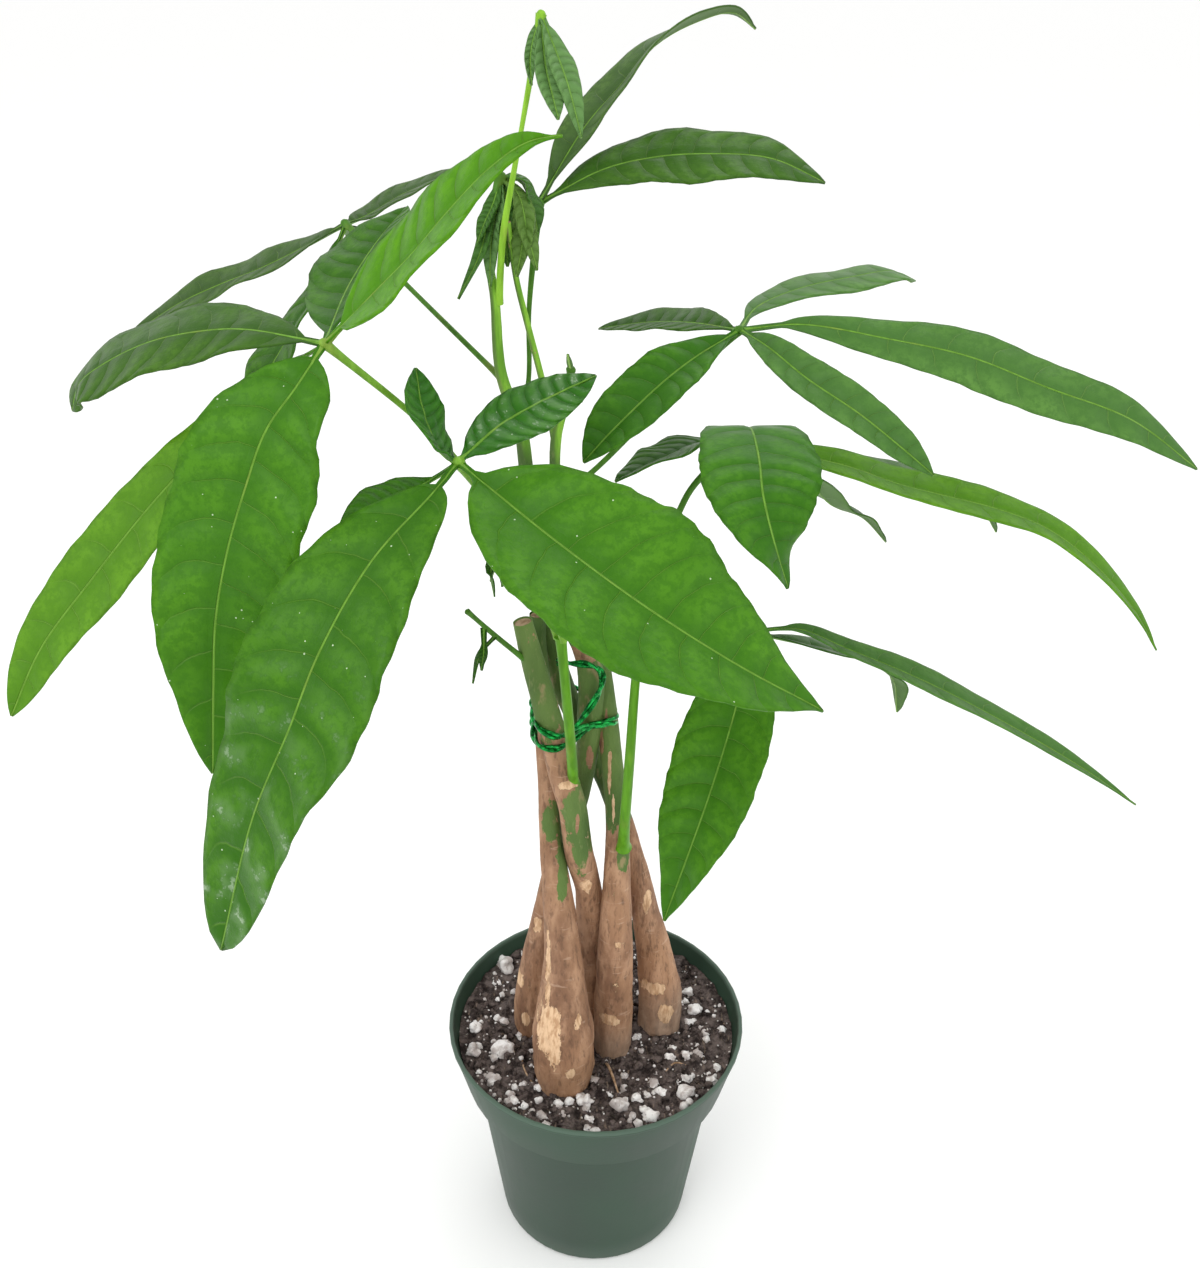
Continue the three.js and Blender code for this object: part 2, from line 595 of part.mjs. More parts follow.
// Small growths: the crown of young leaves at the leaders' tips, the bud on the fork, and two twigs
const SMALL_GROWTHS = {
  crown_young: {
    petiole: [[-29, 6, 365, 0.8], [-28, 7, 369, 1], [-27, 8, 372, 1.2]],
    blades: [
      { rib: [[-29, 4, 366], [-31, 2, 362], [-33, 0, 357]], width: 5 },
      { rib: [[-30, 4, 363], [-32.5, 0, 354], [-38, -5, 344]], width: 4 },
      { rib: [[-28, 4, 365], [-29.5, 2, 357], [-30, -1, 346]], width: 5 },
      { rib: [[-25.6, 6, 365], [-25.8, 5, 357], [-25.5, 4, 350]], width: 5.5 },
      { rib: [[-23.5, 8, 366], [-23, 7, 358], [-24.5, 6, 348]], width: 6 },
      { rib: [[-21.5, 4, 366], [-21.5, 1, 357], [-23, -2, 349]], width: 6 },
      { rib: [[-22.4, 5, 368], [-20, 1, 359], [-17.4, -3, 351]], width: 5.5 },
      { rib: [[-22, 9, 371], [-19.5, 9, 366], [-17.6, 8, 358]], width: 10 },
    ],
  },
  bud_young: {
    petiole: [[-9, 0, 321, 0.7], [-9, 0, 324, 0.8]],
    blades: [
      { rib: [[-9.2, -1, 326], [-9.6, -2, 329]], width: 1.6 },
      { rib: [[-7.4, -2, 319], [-5.7, -3, 316]], width: 1.6 },
      { rib: [[-9.6, 1, 322], [-10.4, 2, 320]], width: 1.6 },
    ],
  },
  twig_front_left: {
    petiole: [[-22, -9, 239, 0.8], [-30, -16, 251, 0.8], [-37, -22, 262, 0.6]],
    hubRadius: 0.8,
    blades: [],
  },
  twig_hanging: {
    petiole: [[-21, 5, 281, 0.8], [-26, -4, 279, 0.6], [-29, -9, 276, 0.7]],
    blades: [
      { rib: [[-31, -11, 271], [-30, -11, 261]], width: 3.5 },
      { rib: [[-28, -12, 273], [-28, -13, 265]], width: 3 },
      { rib: [[-30, -8, 271], [-32, -7, 264]], width: 3 },
    ],
  },
};

// Tiny hanging leaves on the front left twig, from [x, y, z] on the twig
const TWIG_LEAVES = [
  { from: [-30, -16, 251], rib: [[-34, -18, 247], [-37, -19, 237]] },
  { from: [-33, -18.6, 255], rib: [[-33, -21, 249], [-34, -22, 243]] },
];

Object.entries(SMALL_GROWTHS).forEach(([name, growth]) => {
  const blades = growth.blades.map((blade) => ({ along: 5, ...blade }));
  solids[name] = palmateLeaf({ hubRadius: 1.2, ...growth, blades }).subtract(woodGrown);
});
TWIG_LEAVES.forEach(({ from, rib }) => {
  const leaf = leaflet({ rib: [from, ...rib], width: 3, stalk: 0.3, along: 6 });
  solids.twig_front_left = solids.twig_front_left.add(leaf);
});

addNode('pot', 'pot', pot());
addNode('soil', 'soil', soil());
TRUNK_ORDER.forEach((name) => addNode(name, 'bark', solids[name]));
Object.keys(SHOOTS).forEach((name) => addNode(name, 'shoot', solids[name]));
addNode('tie', 'tie', tie());
Object.keys(LEAVES).forEach((name) => addNode(name, name.endsWith('young') ? 'young' : 'leaf', solids[name]));
Object.keys(SMALL_GROWTHS).forEach((name) => addNode(name, 'young', solids[name]));

export default object;
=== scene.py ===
import functools
import math
import random

import bmesh
import bpy
from mathutils import Matrix, Vector, noise


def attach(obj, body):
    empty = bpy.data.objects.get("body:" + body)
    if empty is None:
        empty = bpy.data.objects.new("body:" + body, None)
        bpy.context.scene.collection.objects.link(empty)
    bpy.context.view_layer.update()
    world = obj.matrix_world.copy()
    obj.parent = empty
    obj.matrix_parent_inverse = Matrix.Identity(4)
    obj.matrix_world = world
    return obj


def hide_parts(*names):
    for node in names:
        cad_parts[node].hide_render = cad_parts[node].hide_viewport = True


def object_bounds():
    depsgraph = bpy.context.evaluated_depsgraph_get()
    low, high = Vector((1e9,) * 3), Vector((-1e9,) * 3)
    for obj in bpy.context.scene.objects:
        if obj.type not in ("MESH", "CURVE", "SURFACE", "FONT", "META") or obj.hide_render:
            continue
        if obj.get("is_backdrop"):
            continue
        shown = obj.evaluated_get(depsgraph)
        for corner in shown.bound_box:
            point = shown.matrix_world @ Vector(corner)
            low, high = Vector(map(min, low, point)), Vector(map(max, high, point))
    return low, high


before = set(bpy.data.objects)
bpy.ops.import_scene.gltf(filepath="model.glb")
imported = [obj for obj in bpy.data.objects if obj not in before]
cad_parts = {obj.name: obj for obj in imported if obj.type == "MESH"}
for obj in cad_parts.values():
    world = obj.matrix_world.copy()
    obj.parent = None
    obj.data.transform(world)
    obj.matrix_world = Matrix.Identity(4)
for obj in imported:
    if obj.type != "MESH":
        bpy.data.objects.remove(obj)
cad_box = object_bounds()

MM = 0.001
SEED = 7

# Driving dimensions, as in the part's source
POT_HEIGHT = 88
SOIL_LEVEL = 79
SOIL_MOUND = 1.2
SOIL_RISE = 2.5
SOIL_RADIUS = 48.7
STALK_WIDTH = 1.8
WAVES = 3

# Finer shape than the part's source has
LEAF_THICKNESS = 0.45
LEAF_ACROSS = 14
LEAF_ROW = 1.9
TRUNK_SIDES = 40
STEM_SIDES = 14
SHOOT_SIDES = 20
THIN_SIDES = 8
STEM_ROW = 1.6
LEAST_STEPS = 6
SWELL_LENGTH = 2.5
SEAM = 1e-4
CRUMB_BATCH = 50
FINE_CRUMB = 0.7

# Finishes that are too fine or too thin to be shapes
DUSTY_FOOT = 12
SPECKS_PER_METRE = 700
DROPS_PER_METRE = 520
WAX_IOR = 1.45

# Places and sizes of the plant, the same as in the part's source
# Trunks, from inside the soil to the cut top or the leader's tip: [x, y, z, radius]
TRUNKS = {
    "trunk_front_left": [
        [-11, -19, 52, 3.5], [-11, -20, 60, 7.5], [-11, -20, 72, 8.6], [-11, -21, 86, 10.3],
        [-11, -21, 100, 10.4], [-11, -20, 115, 8.3], [-11, -18, 131, 6.2], [-13, -14, 157, 4.7],
        [-15, -11, 174, 3.6], [-16, -6, 194, 3.1], [-18, 1, 222, 2.9], [-19, 3, 238, 2.6], [-19, 3, 248, 2.4],
    ],
    "trunk_centre_left": [
        [-3, 5, 52, 3], [-3, 4, 66, 5.4], [-2, 2, 93, 6.6], [-2, -1, 115, 5.8], [-3, -7, 151, 4.3],
        [-6, -12, 170, 4.6], [-8, -13, 188, 4.3], [-10.6, -13, 199, 4.4], [-15.3, -10, 219, 4.1],
        [-20.4, -8, 240, 3.3], [-22.8, -8, 251.5, 2.8],
    ],
    "trunk_centre_right": [
        [6, -4, 54, 3], [6, -5, 64, 5.6], [6, -6, 80, 6.5], [6, -6, 96, 6.8], [6, -9, 123, 6.1],
        [6, -11, 154, 4.7], [6, -7, 176, 3.6], [3.4, 0, 203, 3.4], [0, 5, 230, 3.1], [-1, 6.5, 238, 3],
    ],
    "trunk_right_rear": [
        [23, 6, 50, 3.5], [23, 6, 60, 6.6], [23, 6, 80, 7.8], [23, 6, 92, 7.7], [21, 7, 107, 6.4],
        [17, 8, 127, 5], [12, 9, 150, 4.1], [4.5, 10, 177, 3.5], [-3, 10.5, 196, 3.5], [-12.4, 8.6, 222, 3.5],
        [-16.6, 7, 246, 2.9], [-21.5, 5, 290, 2.1], [-23, 4.4, 305, 1.9], [-28, 3, 322, 1.6],
        [-29, 2, 342, 1.3], [-31, 5, 358, 1], [-29, 6, 366, 0.8],
    ],
    "trunk_left_rear": [
        [-22, 4, 50, 3.5], [-22, 4, 60, 6.2], [-22, 4, 74, 7.3], [-22, 4, 90, 7.4], [-21, 4, 105, 6.3],
        [-17, 7, 133, 4.4], [-13, 8, 155, 3.7], [-8, 6, 173, 3.4], [-4, 1, 200, 3.6], [-3, 0, 215, 4],
        [-3, 0, 230, 4.1], [-5, 0, 238, 3.6], [-11, 1, 249, 2], [-13, 0, 280, 1.6], [-13, 0, 305, 1.5],
        [-10, 0, 316, 1], [-9, 0, 322, 0.9],
    ],
}
FORK = [
    [-13, 0, 303, 1.1], [-17, 2, 321, 0.9], [-20.6, 3.6, 335, 0.85], [-23.4, 4, 347, 0.8], [-25, 1, 362, 0.7],
]

# Green shoots on the two centre trunks
SHOOTS = {
    "shoot_left": [
        [-8, -13, 198, 1.7], [-8, -18, 207, 1.6], [-9, -25, 229, 1.5], [-10, -29, 246, 1.4],
        [-11, -30, 259, 1.5],
    ],
    "shoot_right": [
        [8, -11, 172, 2], [8, -16, 184, 1.7], [9, -21, 214, 1.5], [10, -22, 241, 1.3], [12, -22, 269, 1.6],
    ],
}

# Twist tie: two wraps, [x, y], that slope along x, and a tail, [x, y, z]
TIE_HEIGHT = 213.4
TIE_TILTS = [-0.28, 0.06]
TIE_WRAP = [
    [-18.4, 3.4], [-20.7, 0], [-20.2, -4], [-19.8, -9.4], [-17.6, -14.4], [-13, -16], [-8.6, -12.4],
    [-4.4, -6.4], [0, -3.6], [3.6, -1.4], [5, 2], [3.8, 5.4], [-2, 11], [-7, 13.6], [-11, 13.2],
]
TIE_TAIL = [
    [-9, -10, 214], [-4, -7, 220], [-0.6, -6, 226], [0.6, -5.4, 231], [-0.4, -5.6, 234], [-4, -6, 236],
    [-8, -5.4, 236], [-13, -3, 235],
]

# Leaves. What a blade has unless it says otherwise: its turns about the rib in degrees, the taper at its foot
# and tip, its fold, its stalk's share of the rib, its waves, crinkles and water specks painted as pale
# highlights, and its shine along the rib, which lowers roughness and adds a painted sheen and painted shade
# in the vein grooves
PLAIN_BLADE = {
    "roll": 0, "taper": [0.85, 0.85], "fold": 0.12, "stalk": 0.05, "wave": 0.05, "crinkle": 0, "specks": 0,
    "shine": 0, "green": None, "start": None,
}


def blade(width, rib, **options):
    """A leaflet of that width along its rib, [x, y, z], which begins at the leaf's hub or its own start."""
    return {**PLAIN_BLADE, **options, "width": width, "rib": rib}


def leaf(petiole, *blades, green="dull", stalk_green="dark stalk", hub_radius=1.5):
    """A leaf: its petiole, [x, y, z, radius], from the stem to the hub, and its blades."""
    return petiole, blades, green, stalk_green, hub_radius


LEAVES = {
    "leaf_front": leaf(
        [[-10.2, -30.8, 258, 0.8], [-15, -37.6, 277, 0.9], [-24, -50, 302, 0.9], [-33, -62, 322, 1.1]],
        blade(34, [[-38, -71, 318], [-50, -85, 308], [-60, -98, 293], [-67, -105, 277], [-76, -109, 257],
            [-86.5, -113.5, 222]],
            roll=[-8, -20, -34], taper=[0.7, 0.58], fold=[0.04, 0.1], stalk=0.13, wave=0.03, green="deep",
            specks=0.6, shine=[0, 0, 0.5, 1]),
        blade(13, [[-41, -60, 316], [-47, -64, 314], [-53, -68, 312], [-60, -74, 306]],
            roll=-10, stalk=0.2, green="deep"),
        blade(42, [[-9, -84, 312], [10, -96, 303], [29, -102, 293], [48, -102, 282]],
            roll=20, taper=[0.7, 1.1], fold=[0.35, 0.12], green="fresh", specks=0.3),
        blade(15, [[-24, -54, 328], [-13, -46, 332], [-2, -38, 335]],
            roll=24, fold=-0.1, crinkle=0.5, green="glossy", specks=0.8, shine=[0.6, 1]),
        blade(13, [[-37, -60, 324], [-41, -56, 332], [-43, -50, 340]],
            roll=30, crinkle=0.5, green="glossy", shine=0.3),
        stalk_green="stalk",
    ),
    "leaf_left": leaf(
        [[-12, -28.8, 258, 0.8], [-17.6, -33.6, 276, 0.8], [-25, -40, 297, 0.8], [-40, -46, 322, 0.7],
         [-63, -52, 346, 0.9]],
        blade(24, [[-82, -42, 346], [-94, -36, 344], [-109, -32, 340], [-123, -28, 333], [-131, -26, 327],
            [-134, -26, 320]],
            roll=[-22, -28], taper=[0.6, 0.6], fold=-0.1, green="leafy"),
        blade(19, [[-78, -42, 335], [-94, -45, 320], [-110, -49, 304], [-125, -54, 287], [-139, -59, 270],
            [-148, -64, 253]],
            roll=[-15, -40, -45], taper=[1, 0.75], fold=[0, 0.1], green="light"),
        blade(34, [[-68, -60, 339], [-75, -65, 330], [-80, -69, 318], [-85, -72, 304], [-89, -75, 288],
            [-91, -78, 271], [-93, -82, 249]],
            roll=[-20, -45, -50], taper=[0.7, 0.8], fold=0.02, wave=0.03, green="fresh", specks=0.5),
        blade(24, [[-49, -57, 360], [-41, -60, 368], [-33, -63, 377], [-24, -65.5, 386], [-16, -67, 391.5],
            [-9, -67, 393]],
            roll=36, taper=[0.6, 1.6], fold=[0.15, 0.1], green="bright"),
        blade(26, [[-62, -22, 352], [-57, -6, 359], [-51, 4, 365]], roll=-19, fold=0.19, green="shaded"),
        stalk_green="stalk",
    ),
    "leaf_rear_left": leaf(
        [[-28, 4, 320, 0.8], [-54, 28, 337, 0.7], [-76, 50, 351, 0.9]],
        blade(15, [[-88, 55, 344], [-105, 62, 335], [-119, 66, 329], [-134, 68, 322], [-152, 68, 311]],
            roll=-25, wave=0.12, green="rear"),
        blade(14, [[-71, 56, 352], [-61, 62, 357], [-50, 66, 361], [-38, 68, 364]], green="rear"),
        blade(24, [[-84, 44, 334], [-93, 38, 321], [-100, 30, 310], [-105, 24, 301]], roll=14),
        blade(14, [[-74, 80, 338], [-76, 108, 318]]),
    ),
    "leaf_top_right": leaf(
        [[-23, 4, 304, 0.9], [-21, 12, 318, 0.7], [-21, 18, 335, 0.7], [-18, 22, 363, 1]],
        blade(16, [[-11, 28, 374], [-5, 34, 382], [3, 40, 390], [12, 44, 400], [24, 48, 406], [34, 50, 408],
            [40, 50, 404]],
            roll=[10, -25], taper=[0.75, 1], fold=[0.4, 0], green="rear"),
        blade(23, [[-1, 26, 371], [13, 28, 374], [27, 28, 375], [44, 28, 374], [59, 28, 368]],
            roll=[25, 27], fold=-0.04, green="upper"),
        blade(9, [[-20, 25, 361], [-22, 27, 356], [-24, 28, 350]]),
    ),
    "leaf_upper_right": leaf(
        [[-13, 0, 286, 0.9], [-2, 2, 295, 0.8], [17, 4, 315, 0.8], [36, 5, 334, 1]],
        blade(18, [[52, 4, 336], [75, 2, 333], [97, 0, 329], [118, -4, 322], [140, -8, 315],
            [160, -10, 302]],
            roll=38, taper=[1, 0.85], fold=-0.1, stalk=0.1, green="distant"),
        blade(18, [[42, 21, 336], [56, 38, 337], [73, 52, 337], [88, 64, 336], [96, 72, 331]],
            roll=4, taper=[1.3, 0.85], fold=-0.1, green="distant"),
        blade(14, [[25, 22, 331], [13, 40, 326], [-2, 54, 320]], roll=-18, green="leafy"),
        blade(17, [[23, -8, 330], [14, -18, 326], [2, -30, 318], [-5, -36, 312]],
            roll=-16, fold=0.3, green="mid"),
        blade(12, [[42, -8, 333.5], [51, -20, 329], [63, -30, 323.5], [73, -38, 317.5], [80, -44, 313]],
            roll=28, fold=0.2, green="distant"),
    ),
    "leaf_middle_right": leaf(
        [[12, -22, 268, 1.2], [20, -20, 291, 0.9], [24, -17, 298, 0.9], [36, -10, 308, 1.1]],
        blade(28, [[36, -34, 321], [36, -56, 321], [36, -68, 317], [38, -75, 310], [42, -78, 299]],
            taper=[0.6, 0.9], fold=0, wave=0.02, green="mid"),
        blade(24, [[25, -14, 309], [15, -20, 307], [3, -26, 303]], roll=17),
        blade(15, [[53, -6, 303], [67, -5, 299.5], [82, -4, 294], [96, -4, 290.5], [110, -4, 287],
            [125, -5, 281.5], [139, -8, 272], [152, -10, 259], [160.5, -12, 247]],
            roll=15, taper=[0.6, 0.9], green="light"),
        blade(17, [[75, 18, 292], [99, 30, 281], [116, 36, 273], [125, 38, 261]]),
        blade(13, [[56, 5, 293], [70, 25, 275], [81, 32, 268], [90, 36, 258]]),
    ),
    "leaf_lower_right": leaf(
        [[12, -21, 268, 1.1], [28, -14, 260, 0.9], [44, -4, 247, 1.1]],
        blade(12.5, [[58, -4, 248], [73, -5, 242], [89, -7, 236], [105, -9, 229], [125, -12, 219],
            [144, -16, 209], [162, -20, 198]],
            roll=4, taper=[0.85, 1], fold=0.13, stalk=0.08, green="distant"),
        blade(17, [[71, 12, 232], [86, 22, 222], [96, 26, 213], [99, 27, 200]]),
        blade(28, [[40, -16, 230], [33, -32, 213], [26, -44, 197], [19, -52, 178]],
            roll=4, taper=[0.7, 0.95], fold=0.17, green="fresh"),
        stalk_green="stalk",
    ),
    "leaf_top_young": leaf(
        [[-28, 2, 341, 0.9], [-26, -2, 360, 0.9], [-23, -2, 375, 0.7], [-21, 0, 385, 0.6],
         [-16, 0, 410, 0.9]],
        blade(7, [[-12, -7, 402], [-9.4, -11, 396], [-6, -16, 385]], green="young"),
        blade(6, [[-14.8, -8, 400], [-13, -13, 394], [-11.4, -16, 389]], green="young"),
        blade(3, [[-17.6, -1.4, 406], [-18.6, -3, 401], [-18.2, -5, 395]], green="young"),
        hub_radius=1.2, stalk_green="lively stalk",
    ),
    # The crown of young leaves, the bud on the fork and two twigs
    "crown_young": leaf(
        [[-29, 6, 365, 0.8], [-28, 7, 369, 1], [-27, 8, 372, 1.2]],
        blade(5, [[-29, 4, 366], [-31, 2, 362], [-33, 0, 357]]),
        blade(4, [[-30, 4, 363], [-32.5, 0, 354], [-38, -5, 344]]),
        blade(5, [[-28, 4, 365], [-29.5, 2, 357], [-30, -1, 346]], green="young"),
        blade(5.5, [[-25.6, 6, 365], [-25.8, 5, 357], [-25.5, 4, 350]]),
        blade(6, [[-23.5, 8, 366], [-23, 7, 358], [-24.5, 6, 348]]),
        blade(6, [[-21.5, 4, 366], [-21.5, 1, 357], [-23, -2, 349]], green="olive"),
        blade(5.5, [[-22.4, 5, 368], [-20, 1, 359], [-17.4, -3, 351]], green="olive"),
        blade(10, [[-22, 9, 371], [-19.5, 9, 366], [-17.6, 8, 358]]),
        green="crown",
    ),
    "bud_young": leaf(
        [[-9, 0, 321, 0.7], [-9, 0, 324, 0.8]],
        blade(1.6, [[-9.2, -1, 326], [-9.6, -2, 329]]),
        blade(1.6, [[-7.4, -2, 319], [-5.7, -3, 316]]),
        blade(1.6, [[-9.6, 1, 322], [-10.4, 2, 320]]),
        green="crown",
    ),
    "twig_front_left": leaf(
        [[-22, -9, 239, 0.8], [-30, -16, 251, 0.8], [-37, -22, 262, 0.6]],
        blade(3, [[-34, -18, 247], [-37, -19, 237]], start=[-30, -16, 251], stalk=0.3),
        blade(3, [[-33, -21, 249], [-34, -22, 243]], start=[-33, -18.6, 255], stalk=0.3),
        hub_radius=0.8,
    ),
    "twig_hanging": leaf(
        [[-21, 5, 281, 0.8], [-26, -4, 279, 0.6], [-29, -9, 276, 0.7]],
        blade(3.5, [[-31, -11, 271], [-30, -11, 261]]),
        blade(3, [[-28, -12, 273], [-28, -13, 265]]),
        blade(3, [[-30, -8, 271], [-32, -7, 264]]),
    ),
}


# Curves
class Curve:
    """Centripetal curve through points, as in the part's source: place and direction at a share t."""

    def __init__(self, points):
        self.points = [Vector(point[:3]) for point in points]

    def place(self, t):
        spans = len(self.points) - 1
        at = min(max(t, 0.0), 1.0) * spans
        first = min(int(at), spans - 1)
        share = at - first
        p1, p2 = self.points[first], self.points[first + 1]
        p0 = self.points[first - 1] if first > 0 else 2 * p1 - p2
        p3 = self.points[first + 2] if first + 2 <= spans else 2 * p2 - p1
        d0, d1, d2 = ((b - a).length ** 0.5 for a, b in ((p0, p1), (p1, p2), (p2, p3)))
        start = ((p1 - p0) / d0 - (p2 - p0) / (d0 + d1) + (p2 - p1) / d1) * d1
        end = ((p2 - p1) / d1 - (p3 - p1) / (d1 + d2) + (p3 - p2) / d2) * d1
        second = -3 * p1 + 3 * p2 - 2 * start - end
        third = 2 * p1 - 2 * p2 + start + end
        return p1 + share * (start + share * (second + share * third))

    def along(self, t):
        step = 1e-4
        return (self.place(t + step) - self.place(t - step)).normalized()

    def length(self):
        steps = 40
        places = [self.place(i / steps) for i in range(steps + 1)]
        return sum((b - a).length for a, b in zip(places, places[1:]))


def between(values, t):
    """Value at share t of a list of numbers, in straight steps, or one number that holds all along."""
    if not isinstance(values, list):
        return values
    at = min(max(t, 0.0), 1.0) * (len(values) - 1)
    low = min(int(at), len(values) - 2)
    return values[low] + (values[low + 1] - values[low]) * (at - low)


def smooth_step(low, high, value):
    share = min(max((value - low) / (high - low), 0.0), 1.0)
    return share * share * (3 - 2 * share)


# Colours and materials
def linear(hex_colour):
    """Linear colour of an sRGB hex value such as 3f8a22."""
    def channel(start):
        value = int(hex_colour[start:start + 2], 16) / 255
        return value / 12.92 if value <= 0.04045 else ((value + 0.055) / 1.055) ** 2.4
    return (channel(0), channel(2), channel(4), 1.0)


# Kinds of node: Blender's name, settings, the sockets for values in order, and the output, or None for all
NODE_KINDS = {
    "place": ("TexCoord", {}, (), "Object"),
    "attribute": ("Attribute", {}, (), None),
    "map": ("UVMap", {}, (), 0),
    "axes": ("SeparateXYZ", {}, (0,), None),
    "channels": ("SeparateColor", {}, (0,), None),
    "stretch": ("Mapping", {}, ("Vector", "Scale"), 0),
    "noise": ("TexNoise", {}, ("Vector", "Scale", "Detail", "Roughness"), 0),
    "cells": ("TexVoronoi", {}, ("Vector", "Scale"), None),
    "ramp": ("MapRange", {"interpolation_type": "SMOOTHSTEP"}, (0, 1, 2, 3, 4), 0),
    "mix": ("Mix", {"data_type": "RGBA"}, (0, 6, 7), 2),
    "bump": ("Bump", {}, ("Height", "Distance", "Strength"), 0),
    "shader": ("BsdfPrincipled", {},
               ("Base Color", "Roughness", "Normal", "Specular IOR Level", "IOR", "Metallic"), 0),
    "output": ("OutputMaterial", {}, ("Surface",), None),
}
for sum_name in "add subtract multiply multiply_add absolute pingpong sine less_than greater_than".split():
    NODE_KINDS[sum_name] = ("Math", {"operation": sum_name.upper()}, (0, 1, 2), 0)


def add_node(tree, kind, *values, **settings):
    """Adds a node of a kind in the table above, with a link, number or hex colour for each socket."""
    name, fixed, sockets, output = NODE_KINDS[kind]
    node = tree.nodes.new("ShaderNode" + name)
    for setting, value in {**fixed, **settings}.items():
        setattr(node, setting, value)
    for socket, value in zip(sockets, values):
        if isinstance(value, bpy.types.NodeSocket):
            tree.links.new(value, node.inputs[socket])
        else:
            node.inputs[socket].default_value = linear(value) if isinstance(value, str) else value
    return node.outputs if output is None else node.outputs[output]


def new_material(name, build, *details):
    """A material whose nodes are added by build, which is given the function that adds one."""
    material = bpy.data.materials.new(name)
    material.use_nodes = True
    material.node_tree.nodes.clear()
    build(functools.partial(add_node, material.node_tree), *details)
    return material


def grain(node, size_mm, detail, roughness=0.5, longer=(1, 1, 1)):
    """Noise on the object's place, with lumps of about size_mm, drawn out along x, y and z."""
    place = node("stretch", node("place"), [1 / factor for factor in longer])
    return node("noise", place, 0.6 / (size_mm * MM), detail, roughness)


def wash(node, colour, over, pattern, low, high, start=0.0, end=1.0):
    """Lays a colour over another: as a pattern goes from low to high, its share goes from start to end."""
    return node("mix", node("ramp", pattern, low, high, start, end), colour, over)


def weighted_sum(node, patterns):
    """Sum of (pattern, weight) pairs."""
    total = 0.0
    for pattern, weight in patterns:
        total = node("multiply_add", pattern, weight, total)
    return total


def finish_material(node, colour, roughness, relief, depth_mm, strength, specular=0.2, ior=1.5, metallic=0.0):
    """Ends a material with its shader and with bumps, depth_mm high where relief rises by one."""
    normal = node("bump", relief, depth_mm * MM, strength)
    node("output", node("shader", colour, roughness, normal, specular, ior, metallic))


def pot_plastic(node):
    """Injection moulded polypropylene: satin and a little cloudy, with a painted highlight along the lip and
    a few fine scuffs.
    """
    place = node("place")
    cloud = grain(node, 26, 3)
    colour = wash(node, "2b3d31", "344a3b", cloud, 0.3, 0.7)
    height = node("axes", place)["Z"]
    scuff = grain(node, 1.6, 4, 0.7, (1, 1, 3))
    colour = wash(node, colour, "84948a", scuff, 0.66, 0.8, 0.0, 0.12)
    # Painted highlight: a lighter band along the top edge of the lip
    painted_lip_highlight = node("ramp", height, (POT_HEIGHT - 1.6) * MM, (POT_HEIGHT - 0.6) * MM, 0.0, 0.3)
    colour = node("mix", painted_lip_highlight, colour, "74877a")
    dusty = node("ramp", height, 0.0, DUSTY_FOOT * MM, 0.25, 0.0)
    colour = node("mix", dusty, colour, "6f7c72")
    satin = node("ramp", cloud, 0.3, 0.8, 0.44, 0.56)
    finish_material(node, colour, satin, grain(node, 0.9, 2), 0.05, 0.35)


def potting_mix(node):
    """Moist peat: dark brown crumbs and fibres between paler, dried ones."""
    place = node("place")
    crumbs = grain(node, 2, 5, 0.7)
    colour = wash(node, "261e1c", "6c605c", crumbs, 0.36, 0.66)
    dry = node("ramp", grain(node, 5, 3, 0.6), 0.56, 0.7, 0.0, 0.25)
    colour = node("mix", dry, colour, "8d817d")
    fibre = grain(node, 0.8, 3, 0.6, (1, 5, 1))
    colour = wash(node, colour, "8f7c6c", fibre, 0.6, 0.7, 0.0, 0.6)
    speck = node("cells", place, SPECKS_PER_METRE)
    chosen = node("greater_than", node("channels", speck["Color"])[0], 0.88)
    near = node("ramp", speck["Distance"], 0.35, 0.2)
    colour = node("mix", node("multiply", chosen, near), colour, "d2cbc6")
    finish_material(node, colour, 0.92, crumbs, 1.2, 0.9)


def perlite_stone(node):
    """Expanded perlite: chalky crumbs with small pits, stained by the peat."""
    stain = node("ramp", grain(node, 4, 4, 0.65), 0.4, 0.62)
    colour = node("mix", stain, "efecea", "b3a9a5")
    dirt = node("ramp", grain(node, 0.7, 3), 0.6, 0.72, 0.0, 0.5)
    colour = node("mix", dirt, colour, "6d635c")
    finish_material(node, colour, 0.88, grain(node, 0.7, 3, 0.7), 0.3, 0.8)


